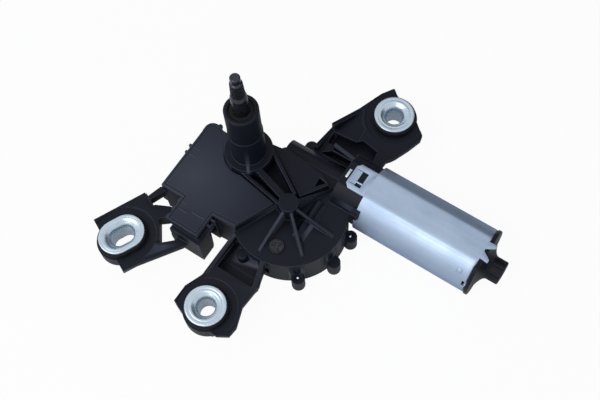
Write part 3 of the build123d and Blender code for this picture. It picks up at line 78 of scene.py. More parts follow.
# Faces of a moulded copy that meet at less than this angle are shaded as one, in degrees
MOULDED_ANGLE = 13.0


def mm(*values):
    """Millimetres as metres: one number, or a Vector of three."""
    if len(values) == 1:
        return values[0] * MM
    return Vector(values) * MM


def in_metres(profile):
    """A profile of (radius, height) pairs that is written in millimetres."""
    return [(mm(radius), mm(height)) for radius, height in profile]


def linear(red, green, blue):
    """A colour written in 0 to 255 screen values, as the linear values that a shader takes."""
    parts = [value / 255 for value in (red, green, blue)]
    return tuple(p / 12.92 if p <= 0.04045 else ((p + 0.055) / 1.055) ** 2.4 for p in parts)


# Shader maths


class Channel:
    """An output of a shader tree that can be used like a number in sums."""

    def __init__(self, finish, socket):
        self.finish = finish
        self.socket = socket

    def maths(self, operation, first, second):
        return self.finish.node("ShaderNodeMath", {"operation": operation}, {0: first, 1: second})

    def __add__(self, other):
        return self.maths("ADD", self, other)

    def __radd__(self, other):
        return self.maths("ADD", other, self)

    def __sub__(self, other):
        return self.maths("SUBTRACT", self, other)

    def __rsub__(self, other):
        return self.maths("SUBTRACT", other, self)

    def __mul__(self, other):
        return self.maths("MULTIPLY", self, other)

    def __rmul__(self, other):
        return self.maths("MULTIPLY", other, self)


class Shading:
    """A node tree of a material or of the sky."""

    def __init__(self, owner):
        owner.use_nodes = True
        self.tree = owner.node_tree

    def show(self, shader):
        """Links a finished shader to the tree's output."""
        outlet = next(node for node in self.tree.nodes if node.type.startswith("OUTPUT"))
        self.tree.links.new(shader.socket, outlet.inputs["Surface"])

    def node(self, kind, settings, inputs, output=0):
        """Adds a node with its settings and its sockets' values or links, and returns one output."""
        made = self.tree.nodes.new(kind)
        for key, value in settings.items():
            if key == "stops":
                ramp = made.color_ramp
                while len(ramp.elements) < len(value):
                    ramp.elements.new(0.5)
                for element, (position, level) in zip(ramp.elements, value):
                    element.position = position
                    element.color = (level, level, level, 1.0)
            else:
                setattr(made, key, value)
        for key, value in inputs.items():
            if isinstance(value, Channel):
                self.tree.links.new(value.socket, made.inputs[key])
            elif isinstance(value, tuple) and made.inputs[key].type == "RGBA" and len(value) == 3:
                made.inputs[key].default_value = (*value, 1.0)
            else:
                made.inputs[key].default_value = value
        return Channel(self, made.outputs[output])


class Finish(Shading):
    """A material with its shader, and the nodes that lead to it."""

    def __init__(self, name):
        if name in bpy.data.materials:
            raise RuntimeError("a finish is made twice: " + name)
        super().__init__(bpy.data.materials.new(name))
        self.shader = self.tree.nodes["Principled BSDF"]
        self.place = self.node("ShaderNodeTexCoord", {}, {}, "Object")

    def noise(self, scale, detail=3.0, stretch=(1.0, 1.0, 1.0), roughness=0.5):
        """Noise from 0 to 1 with this many features a metre, stretched along the axes."""
        placed = self.node("ShaderNodeMapping", {}, {"Vector": self.place, "Scale": stretch})
        return self.node(
            "ShaderNodeTexNoise",
            {},
            {"Vector": placed, "Scale": scale, "Detail": detail, "Roughness": roughness},
        )

    def cells(self, scale, settings=None):
        """Distance to the nearest of scattered points, this many a metre."""
        return self.node("ShaderNodeTexVoronoi", settings or {}, {"Vector": self.place, "Scale": scale})

    def ramp(self, value, *stops):
        """Grey levels at positions along a value."""
        return self.node("ShaderNodeValToRGB", {"stops": stops}, {"Fac": value})

    def blend(self, mask, first, second):
        """One colour where the mask is 0, another where it is 1."""
        return self.node(
            "ShaderNodeMix", {"data_type": "RGBA"}, {"Factor": mask, 6: first, 7: second}, 2
        )

    def soften(self, radius):
        """Normal of the surface with its edges rounded to a radius."""
        return self.node("ShaderNodeBevel", {"samples": 6}, {"Radius": radius})

    def edges(self, rounded):
        """Mask of the places where the rounded normal leaves the true one."""
        flat = self.node("ShaderNodeNewGeometry", {}, {}, "True Normal")
        dot = {"operation": "DOT_PRODUCT"}
        facing = self.node("ShaderNodeVectorMath", dot, {0: rounded, 1: flat}, 1)
        return self.ramp(1 - facing, (0.01, 0.0), (0.16, 1.0))

    def bump(self, height, strength, distance, normal=None):
        """Normal with a height field on it."""
        inputs = {"Strength": strength, "Distance": distance, "Height": height}
        if normal is not None:
            inputs["Normal"] = normal
        return self.node("ShaderNodeBump", {}, inputs)

    def set(self, **sockets):
        """Sets or links the shader's sockets, named with underscores for spaces."""
        for key, value in sockets.items():
            socket = self.shader.inputs[key.replace("_", " ").title().replace("Ior", "IOR")]
            if isinstance(value, Channel):
                self.tree.links.new(value.socket, socket)
            elif isinstance(value, tuple) and len(value) == 3:
                socket.default_value = (*value, 1.0)
            else:
                socket.default_value = value


def moulded_plastic(name, colour, worn_and_lit, gloss, grain, softness, painted_sheen=None):
    """Filled black moulding: fine grain, slow flow marks, and paler edges that are partly rubbing and
    partly a painted highlight.

    A painted sheen is a place and a radius round which the skin is painted paler: a painted reflection
    of the lamp."""
    finish = Finish(name)
    rounded = finish.soften(softness)
    rubbed_lit_edges = finish.edges(rounded)
    flow = finish.noise(38.0, 4.0, (1.0, 1.4, 0.8))
    cloud = finish.noise(14.0, 2.0)
    fine = finish.noise(2600.0, 4.0)
    specks = finish.ramp(finish.noise(900.0, 2.0), (0.5, 0.0), (0.72, 1.0))
    tint = finish.ramp(flow, (0.35, 0.0), (0.7, 1.0)) * 0.5 + cloud * 0.35
    base = finish.blend(tint, colour, tuple(c * 1.35 + 0.001 for c in colour))
    # Painted sheen: a paler patch round a place, standing in for the lamp's reflection on the cover
    if painted_sheen:
        place, radius = painted_sheen
        centred = finish.node(
            "ShaderNodeMapping",
            {},
            {"Vector": finish.place, "Location": -place / radius, "Scale": (1 / radius,) * 3},
        )
        sphere = {"gradient_type": "SPHERICAL"}
        painted_sheen_mask = finish.node("ShaderNodeTexGradient", sphere, {"Vector": centred}, 1)
        base = finish.blend(painted_sheen_mask * (0.35 + 0.5 * cloud), base, worn_and_lit)
    # Paler edges: partly rubbing, partly a painted highlight along the edges
    base = finish.blend(rubbed_lit_edges * (0.45 + 0.5 * flow), base, worn_and_lit)
    skin = fine * grain + specks * grain * 0.5 + flow * 0.25
    finish.set(
        base_color=base,
        roughness=gloss + 0.1 * flow + 0.06 * fine - 0.08 * rubbed_lit_edges,
        normal=finish.bump(skin, 0.32, 0.00006, rounded),
        specular_ior_level=0.17,
    )


def drawn_steel(name, colour, dark, gloss, softness):
    """Zinc-coated drawn steel: lengthwise drawing lines, faint spangle and dull patches."""
    finish = Finish(name)
    rounded = finish.soften(softness)
    lines = finish.noise(900.0, 3.0, (0.035, 1.0, 1.0))
    broad = finish.noise(160.0, 3.0, (0.06, 1.0, 1.0))
    patches = finish.noise(45.0, 5.0, (0.5, 1.0, 1.0))
    spangle = finish.cells(520.0, {"feature": "SMOOTH_F1"})
    dull = finish.ramp(patches, (0.42, 0.0), (0.66, 1.0))
    tint = 0.34 * lines + 0.3 * broad + 0.32 * dull + 0.1 * spangle
    base = finish.blend(tint, colour, dark)
    finish.set(
        base_color=base,
        metallic=0.88,
        roughness=gloss + 0.14 * lines + 0.12 * dull,
        specular_tint=(0.35, 0.42, 0.52),
        normal=finish.bump(lines + 0.5 * broad + 0.3 * spangle, 0.1, 0.00005, rounded),
    )


def plated_zinc(name, colour, dark, gloss):
    """Zinc plating over a turned face: fine rings of the tool, clouding and small marks."""
    finish = Finish(name)
    rounded = finish.soften(0.00025)
    cloud = finish.noise(260.0, 5.0)
    fine = finish.noise(1900.0, 3.0)
    marks = finish.ramp(finish.noise(420.0, 6.0, roughness=0.7), (0.63, 0.0), (0.7, 1.0))
    base = finish.blend(0.45 * cloud + 0.4 * marks, colour, dark)
    finish.set(
        base_color=base,
        metallic=0.78,
        roughness=gloss + 0.14 * cloud + 0.12 * marks,
        normal=finish.bump(fine + 0.6 * cloud - 0.8 * marks, 0.12, 0.00005, rounded),
    )


def turned_metal(name, colour, dark, gloss, metallic=1.0, softness=0.0002):
    """Machined metal: close tool lines, slight oil clouding, and paler edges that are partly rubbed
    metal and partly a painted highlight.
    """
    finish = Finish(name)
    rounded = finish.soften(softness)
    rubbed_lit_edges = finish.edges(rounded)
    lines = finish.noise(2600.0, 2.0, (0.2, 0.2, 1.0))
    cloud = finish.noise(190.0, 4.0)
    base = finish.blend(0.3 * lines + 0.5 * cloud, colour, dark)
    # Paler edges: partly rubbed metal, partly a painted highlight along the edges
    base = finish.blend(rubbed_lit_edges * 0.35, base, tuple(min(1.0, c * 1.5 + 0.02) for c in colour))
    finish.set(
        base_color=base,
        metallic=metallic,
        roughness=gloss + 0.12 * cloud + 0.06 * lines,
        normal=finish.bump(lines + 0.4 * cloud, 0.1, 0.00003, rounded),
    )


def wound_wire(name, colour, dark):
    """Enamelled wire laid side by side, with the wraps' shade between the turns."""
    finish = Finish(name)
    wraps = finish.node(
        "ShaderNodeTexWave",
        {"wave_type": "BANDS", "bands_direction": "DIAGONAL"},
        {"Vector": finish.place, "Scale": 900.0, "Distortion": 1.5, "Detail": 1.0},
        1,
    )
    cloud = finish.noise(300.0, 3.0)
    base = finish.blend(wraps * 0.75 + cloud * 0.2, dark, colour)
    finish.set(
        base_color=base,
        metallic=0.75,
        roughness=0.34 + 0.16 * cloud,
        normal=finish.bump(wraps, 0.5, 0.0001),
    )


def dull_solid(name, colour, dark, gloss, scale, relief, metallic=0.0):
    """Pressed or sintered block: grains of two tones and a low relief."""
    finish = Finish(name)
    rounded = finish.soften(0.0002)
    grains = finish.cells(scale)
    cloud = finish.noise(scale * 0.2, 4.0)
    base = finish.blend(0.5 * grains + 0.5 * cloud, colour, dark)
    finish.set(
        base_color=base,
        metallic=metallic,
        roughness=gloss + 0.15 * cloud,
        normal=finish.bump(grains + cloud, relief, 0.0001, rounded),
    )


def glass_laminate(name):
    """Green circuit laminate: woven glass under a lacquer, with paler tracks."""
    finish = Finish(name)
    weave = finish.node("ShaderNodeTexChecker", {}, {"Vector": finish.place, "Scale": 1600.0}, 1)
    tracks = finish.node(
        "ShaderNodeTexBrick",
        {"offset": 0.5},
        {"Vector": finish.place, "Scale": 190.0, "Mortar Size": 0.012, "Mortar Smooth": 0.1},
        1,
    )
    cloud = finish.noise(120.0, 3.0)
    base = finish.blend(weave * 0.25 + cloud * 0.3, linear(20, 84, 48), linear(12, 58, 34))
    base = finish.blend(tracks * 0.8, base, linear(46, 118, 62))
    finish.set(
        base_color=base,
        roughness=0.3 + 0.12 * cloud,
        normal=finish.bump(weave + 2.0 * tracks, 0.2, 0.00005),
        coat_weight=0.3 + 0.2 * cloud,
    )


def pressed_fibre(name):
    """Breathable plug of pressed fibre: coarse, pitted and dusty."""
    finish = Finish(name)
    coarse = finish.noise(620.0, 6.0, roughness=0.8)
    pits = finish.cells(800.0)
    dust = finish.ramp(coarse, (0.5, 0.0), (0.66, 1.0))
    base = finish.blend(dust * 0.9, linear(22, 24, 31), linear(96, 100, 112))
    finish.set(
        base_color=base,
        roughness=0.82 + 0.1 * coarse,
        normal=finish.bump(coarse * 1.6 - pits, 0.9, 0.0004),
    )


# Modelling


def settle():
    """Leaves edit mode and deselects everything, so that the next operator starts clean."""
    if bpy.context.object and bpy.context.object.mode != "OBJECT":
        bpy.ops.object.mode_set(mode="OBJECT")
    bpy.ops.object.select_all(action="DESELECT")


def activate(piece):
    """Selects one piece alone and makes it the active one."""
    settle()
    piece.select_set(True)
    bpy.context.view_layer.objects.active = piece


@contextmanager
def editing(piece):
    """Opens a piece for editing with nothing selected in it, and closes it again."""
    activate(piece)
    bpy.ops.object.mode_set(mode="EDIT")
    bpy.ops.mesh.select_all(action="DESELECT")
    yield
    bpy.ops.object.mode_set(mode="OBJECT")


def face_outwards():
    """Selects the whole of the open piece and turns its faces outwards."""
    bpy.ops.mesh.select_all(action="SELECT")
    bpy.ops.mesh.normals_make_consistent(inside=False)


def pick(piece, kind, test):
    """Selects the vertices, edges or faces whose middle and normal pass a test.

    An edge's own direction is tested in place of a normal."""
    bpy.ops.mesh.select_mode(type=kind)
    bpy.ops.mesh.select_all(action="DESELECT")
    shape = bmesh.from_edit_mesh(piece.data)
    for part in {"VERT": shape.verts, "EDGE": shape.edges, "FACE": shape.faces}[kind]:
        if kind == "VERT":
            middle, facing = part.co, part.normal
        elif kind == "EDGE":
            middle = (part.verts[0].co + part.verts[1].co) / 2
            facing = part.verts[1].co - part.verts[0].co
        else:
            middle, facing = part.calc_center_median(), part.normal
        if test(middle, facing):
            part.select = True
    shape.select_flush_mode()
    bmesh.update_edit_mesh(piece.data)


def round_edges(piece, test, width, segments, clamp=False):
    """Bevels the edges whose middle and direction pass a test, by a width in millimetres."""
    pick(piece, "EDGE", test)
    bpy.ops.mesh.bevel(offset=mm(width), segments=segments, clamp_overlap=clamp)


def round_all(piece, width, segments):
    """Bevels all edges of a piece by a width in millimetres."""
    with editing(piece):
        bpy.ops.mesh.select_all(action="SELECT")
        bpy.ops.mesh.bevel(offset=mm(width), segments=segments)


def close_piece(piece, name, finish, angle, node=None):
    """Finishes a piece that rides on the housing: its place in its mesh, its name and finish.

    Faces that meet at less than the angle, in degrees, are shaded as one. It stands for the node."""
    activate(piece)
    bpy.ops.object.transform_apply()
    bpy.ops.object.shade_smooth_by_angle(angle=radians(angle))
    piece.name = name
    piece.data.name = name
    piece.data.materials.clear()
    piece.data.materials.append(bpy.data.materials[finish])
    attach(piece, "housing")
    if node:
        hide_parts(node)
    settle()


def apply_modifier(piece, kind, **settings):
    """Adds one modifier with its settings and applies it."""
    activate(piece)
    modifier = piece.modifiers.new(kind.title(), kind)
    for key, value in settings.items():
        setattr(modifier, key, value)
    bpy.ops.object.modifier_apply(modifier=modifier.name)


def cut_with(piece, cutter, operation="DIFFERENCE"):
    """Cuts a shape by another, or joins the other to it, and deletes the other."""
    apply_modifier(piece, "BOOLEAN", object=cutter, operation=operation, solver="EXACT")
    bpy.data.objects.remove(cutter, do_unlink=True)


def block(low, high):
    """Plain block between two corners, as a tool for cutting."""
    settle()
    low, high = Vector(low), Vector(high)
    bpy.ops.mesh.primitive_cube_add(size=1.0, location=(low + high) / 2)
    made = bpy.context.object
    made.scale = high - low
    bpy.ops.object.transform_apply()
    return made


def prism(outline, low, high):
    """Upright block on an outline in millimetres, as a start for a piece or a tool for cutting."""
    settle()
    bpy.ops.mesh.primitive_circle_add(vertices=len(outline), radius=mm(1), fill_type="NGON")
    made = bpy.context.object
    for vertex, (x, y) in zip(made.data.vertices, outline):
        vertex.co = mm(x, y, low)
    with editing(made):
        bpy.ops.mesh.select_all(action="SELECT")
        bpy.ops.mesh.extrude_region_move(TRANSFORM_OT_translate={"value": mm(0, 0, high - low)})
        face_outwards()
    return made


def strip(line, width):
    """Outline of a narrow strip along a line of points, both in millimetres."""
    points = [Vector(point) for point in line]
    steps = [(b - a).normalized() for a, b in zip(points, points[1:])]
    sides = []
    for index, point in enumerate(points):
        before, after = steps[max(index - 1, 0)], steps[min(index, len(steps) - 1)]
        middle = (before + after).normalized()
        across = Vector((-middle.y, middle.x)) * (width / 2 / max(0.3, middle.dot(after)))
        sides.append((point + across, point - across))
    left = [tuple(left) for left, right in sides]
    return left + [tuple(right) for left, right in reversed(sides)]


def arc_points(centre, radius, start, end, steps):
    """Points of an arc from one angle to another in degrees. Two radii make it part of an ellipse."""
    across, along = radius if isinstance(radius, tuple) else (radius, radius)
    angles = [radians(start + (end - start) * step / steps) for step in range(steps + 1)]
    return [(centre[0] + across * cos(angle), centre[1] + along * sin(angle)) for angle in angles]


def ring_points(centre, radius, count=24):
    """Points of a whole circle."""
    return arc_points(centre, radius, 0, 360, count)[:-1]


def copy_node(node):
    """A merged copy of a CAD node, with its flat faces whole again, to be worked on further."""
    activate(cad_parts[node])
    bpy.ops.object.duplicate()
    made = bpy.context.object
    world = made.matrix_world.copy()
    made.parent = None
    made.matrix_world = world
    with editing(made):
        bpy.ops.mesh.select_all(action="SELECT")
        bpy.ops.mesh.remove_doubles(threshold=mm(0.001))
        bpy.ops.mesh.dissolve_limited(angle_limit=radians(0.5))
    return made


def join_pieces(first, others):
    """Joins finished shells into one piece."""
    settle()
    for piece in [first, *others]:
        piece.select_set(True)
    bpy.context.view_layer.objects.active = first
    bpy.ops.object.join()


def block_at(place, low, high):
    """Block between two corners given in millimetres from a place."""
    return block(place + mm(*low), place + mm(*high))


def soft_block(low, high, radius, segments=2):
    """Block between two corners in millimetres, with rounded edges."""
    made = block_at(Vector(), low, high)
    round_all(made, radius, segments)
    return made


def turned(centre, along, profile, segments=64):
    """Ring of faces through a profile of (radius, height) pairs, turned round X or Z.

    It starts as a circle and is extruded and resized from one pair to the next."""
    settle()
    centre = Vector(centre)
    axis = Vector((1, 0, 0)) if along == "X" else Vector((0, 0, 1))
    turn = Euler((0, pi / 2, 0)) if along == "X" else Euler((0, 0, pi / segments))
    radius, height = profile[0]
    bpy.ops.mesh.primitive_circle_add(
        vertices=segments, radius=radius, location=centre + axis * height, rotation=turn
    )
    piece = bpy.context.object
    bpy.ops.object.transform_apply()
    with editing(piece):
        bpy.ops.mesh.select_mode(type="VERT")
        bpy.ops.mesh.select_all(action="SELECT")
        for next_radius, next_height in profile[1:]:
            step = axis * (next_height - height)
            bpy.ops.mesh.extrude_region_move(TRANSFORM_OT_translate={"value": step})
            ratio = next_radius / radius
            value = (1, ratio, ratio) if along == "X" else (ratio, ratio, 1)
            bpy.ops.transform.resize(value=value, center_override=centre + axis * next_height)
            radius, height = next_radius, next_height
        bpy.ops.mesh.select_all(action="SELECT")
        bpy.ops.mesh.remove_doubles(threshold=mm(0.002))
        face_outwards()
    return piece


def close_ends(piece):
    """Fills the open rims of a turned piece."""
    with editing(piece):
        bpy.ops.mesh.select_mode(type="EDGE")
        bpy.ops.mesh.select_non_manifold()
        bpy.ops.mesh.edge_face_add()
        face_outwards()


# Settings that a user would change


def colour_setting(name, description, red, green, blue):
    """A colour that can be changed, written in 0 to 255 screen values."""
    return bpy.props.FloatVectorProperty(
        name=name, description=description, subtype="COLOR", size=3, default=linear(red, green, blue)
    )


class StageSettings(bpy.types.PropertyGroup):
    """Light and floor of the stage."""

    key_strength: bpy.props.FloatProperty(
        name="Lamp", description="Power of the large soft lamp", default=5.4, min=0.0, unit="POWER"
    )
    sky_strength: bpy.props.FloatProperty(
        name="Sky", description="Strength of the even light all round", default=0.42, min=0.0
    )
    floor_size: bpy.props.FloatProperty(
        name="Floor size", description="Side of the pale floor", default=6.0, unit="LENGTH"
    )


class HousingSettings(bpy.types.PropertyGroup):
    """Colours of the black mouldings, and how soft their edges look."""

    plastic_colour: colour_setting("Housing", "Colour of the housing's plastic", 13, 16, 28)
    cover_colour: colour_setting("Cover", "Colour of the electronics cover", 24, 28, 39)
    # This colour paints the rubbed edges, partly as a painted highlight, and the painted sheen on the
    # cover
    edge_and_sheen_colour: colour_setting("Rubbed edges", "Colour of the plastic's rubbed edges", 74, 79, 93)
    edge_radius: bpy.props.FloatProperty(
        name="Edge radius", description="How soft the moulded edges look", default=0.0006, unit="LENGTH"
    )


class MotorSettings(bpy.types.PropertyGroup):
    """Sizes and colours of the motor can."""

    can_radius: bpy.props.FloatProperty(
        name="Can radius", description="Radius of the can's round sides", default=0.0175, unit="LENGTH"
    )
    can_flat: bpy.props.FloatProperty(
        name="Can flat", description="Height of the can's flats over its axis", default=0.016,
        unit="LENGTH",
    )
    steel_colour: colour_setting("Steel", "Colour of the can's steel", 182, 199, 221)
    dull_colour: colour_setting("Dull steel", "Colour of the can's dull patches", 140, 158, 182)


class BushSettings(bpy.types.PropertyGroup):
    """Colours of the mounting bushes."""

    zinc_colour: colour_setting("Zinc", "Colour of the plated bushes", 196, 212, 225)
    shade_colour: colour_setting("Clouding", "Colour of the plating's clouding", 140, 156, 172)


# Operators


class WIPER_OT_finishes(bpy.types.Operator):
    """Gives every node of the frame its procedural finish"""

    bl_idname = "wiper.finishes"
    bl_label = "Finish the frame"

    # The place and radius of the painted sheen on the cover, a paler patch painted where the lamp is
    # reflected
    PAINTED_SHEEN = (mm(-17, -25, -4), mm(44))

    def plastics(self, housing):
        """Mouldings, rubbers and a sleeve, each with the colour of its rubbed edges, which also paints
        their edge highlight.
        """
        black, cover = tuple(housing.plastic_colour), tuple(housing.cover_colour)
        worn_and_lit, soft = tuple(housing.edge_and_sheen_colour), housing.edge_radius
        moulded_plastic("black_moulding", black, worn_and_lit, 0.42, 0.6, soft)
        moulded_plastic("cover_plastic", cover, worn_and_lit, 0.46, 0.8, soft, self.PAINTED_SHEEN)
        moulded_plastic("gloss_moulding", linear(10, 12, 19), worn_and_lit, 0.38, 0.5, soft * 0.7)
        moulded_plastic("brush_plastic", linear(52, 50, 48), linear(110, 106, 100), 0.5, 0.6, 0.0002)
        ivory, pale_ivory = linear(214, 208, 190), linear(235, 230, 214)
        moulded_plastic("ivory_moulding", ivory, pale_ivory, 0.4, 0.3, 0.0001)
        moulded_plastic("pad_plastic", linear(196, 190, 170), linear(220, 214, 196), 0.45, 0.3, 0.0002)
        moulded_plastic("relay_case", linear(28, 30, 36), worn_and_lit, 0.36, 0.3, 0.0003)
        moulded_plastic("soft_rubber", linear(17, 17, 19), linear(60, 60, 64), 0.62, 1.0, 0.0006)
        moulded_plastic("seal_rubber", linear(26, 26, 28), linear(60, 60, 64), 0.6, 0.9, 0.0002)
        moulded_plastic("blue_sleeve", linear(24, 34, 66), linear(90, 100, 130), 0.3, 0.3, 0.0004)

    def metals(self, motor, bushes):
        """Coated, plated, turned and wound metals, each with its darker second colour."""
        steel, dull = tuple(motor.steel_colour), tuple(motor.dull_colour)
        zinc, shade = tuple(bushes.zinc_colour), tuple(bushes.shade_colour)
        drawn_steel("coated_can_steel", steel, dull, 0.41, 0.0004)
        plated_zinc("plated_flange_zinc", zinc, shade, 0.24)
        turned_metal("black_steel", linear(72, 74, 84), linear(30, 31, 38), 0.18, 0.85, 0.0002)
        turned_metal("ground_steel", linear(176, 180, 186), linear(126, 130, 138), 0.3)
        turned_metal("bright_clip", linear(220, 226, 234), linear(150, 158, 170), 0.2)
        turned_metal("pressed_brass", linear(206, 168, 92), linear(160, 122, 60), 0.26)
        turned_metal("commutator_copper", linear(198, 118, 78), linear(120, 66, 42), 0.28)
        wound_wire("enamelled_copper", linear(186, 92, 46), linear(92, 34, 16))

    def solid_blocks(self):
        """Sintered, pressed and stacked materials."""
        dull_solid("sintered_bronze", linear(172, 128, 70), linear(118, 82, 44), 0.4, 2600.0, 0.3, 0.9)
        dull_solid("ferrite_magnet", linear(58, 58, 62), linear(34, 34, 38), 0.6, 1800.0, 0.4)
        dull_solid("brush_carbon", linear(38, 37, 38), linear(20, 20, 21), 0.5, 3000.0, 0.3, 0.2)
        dull_solid("laminated_iron", linear(120, 118, 120), linear(74, 72, 74), 0.42, 1500.0, 0.2, 0.85)

    def dress(self):
        """Puts each node's finish on it, and makes sure that no node is left out."""
        dressed = set()
        for finish, nodes in FINISH_NODES.items():
            for node in nodes:
                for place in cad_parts[node].material_slots:
                    place.material = bpy.data.materials[finish]
            dressed.update(nodes)
        left = set(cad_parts) - dressed
        if left:
            raise RuntimeError("nodes without a finish: " + ", ".join(sorted(left)))

    def execute(self, context):
        self.plastics(context.scene.wiper_housing)
        self.metals(context.scene.wiper_motor, context.scene.wiper_bushes)
        self.solid_blocks()
        glass_laminate("circuit_laminate")
        pressed_fibre("vent_fibre")
        self.dress()
        return {"FINISHED"}


# The nodes that take each finish
FINISH_NODES = {
    "black_moulding": ("gear_housing", "tower_sleeve"),
    "cover_plastic": ("bottom_cover", "electronics_cover"),
    "gloss_moulding": ("end_cap",),
    "brush_plastic": ("brush_plate",),
    "ivory_moulding": ("worm_wheel",),
    "pad_plastic": ("thrust_pad",),
    "relay_case": ("park_relay",),
    "blue_sleeve": ("capacitors",),
    "soft_rubber": ("grommet_left", "grommet_lower", "grommet_right"),
    "seal_rubber": ("spindle_seal", "bottom_seal"),
    "coated_can_steel": ("motor_can",),
    "plated_flange_zinc": ("bush_left_slotted", "bush_lower", "bush_right"),
    "black_steel": ("output_spindle", "spindle_circlip"),
    "ground_steel": (
        "armature_shaft", "drive_worm", "bearing_clip", "wheel_axle", "crank_pin", "sector_rod",
        "sector_pin", "rocker_link", "spindle_pinion", "spindle_washer", "spindle_clip",
    ),
    "bright_clip": ("brush_springs", "earth_clip", "cover_screws", "axle_clip"),
    "sintered_bronze": (
        "worm_end_bush", "front_bearing", "rear_bearing", "lower_spindle_bush", "upper_spindle_bush",
    ),
    "pressed_brass": (
        "brush_holders", "motor_terminals", "connector_terminals", "park_contacts", "park_contact_disc",
    ),
    "enamelled_copper": ("choke_coils", "armature_windings"),
    "commutator_copper": ("commutator",),
    "ferrite_magnet": ("field_magnets",),
    "brush_carbon": ("carbon_brushes",),
    "laminated_iron": ("lamination_core",),
    "circuit_laminate": ("circuit_board",),
    "vent_fibre": ("vent_plug",),
}

# The electronics box's rounded corner, in millimetres: its arc, and the outline that fills it
CORNER_CENTRE = (-23.48, 0.45)
CORNER_RADIUS = 4.5
BOX_CORNER = [
    (-27.98, -2.0), *arc_points(CORNER_CENTRE, CORNER_RADIUS, 180, 90, 6), (-21.1, 4.95), (-18.8, 3.5),
    (-16.6, 3.4), (-13.6, 1.7), (-11.8, 0.0), (-11.4, -4.1), (-20.0, 1.0),
]


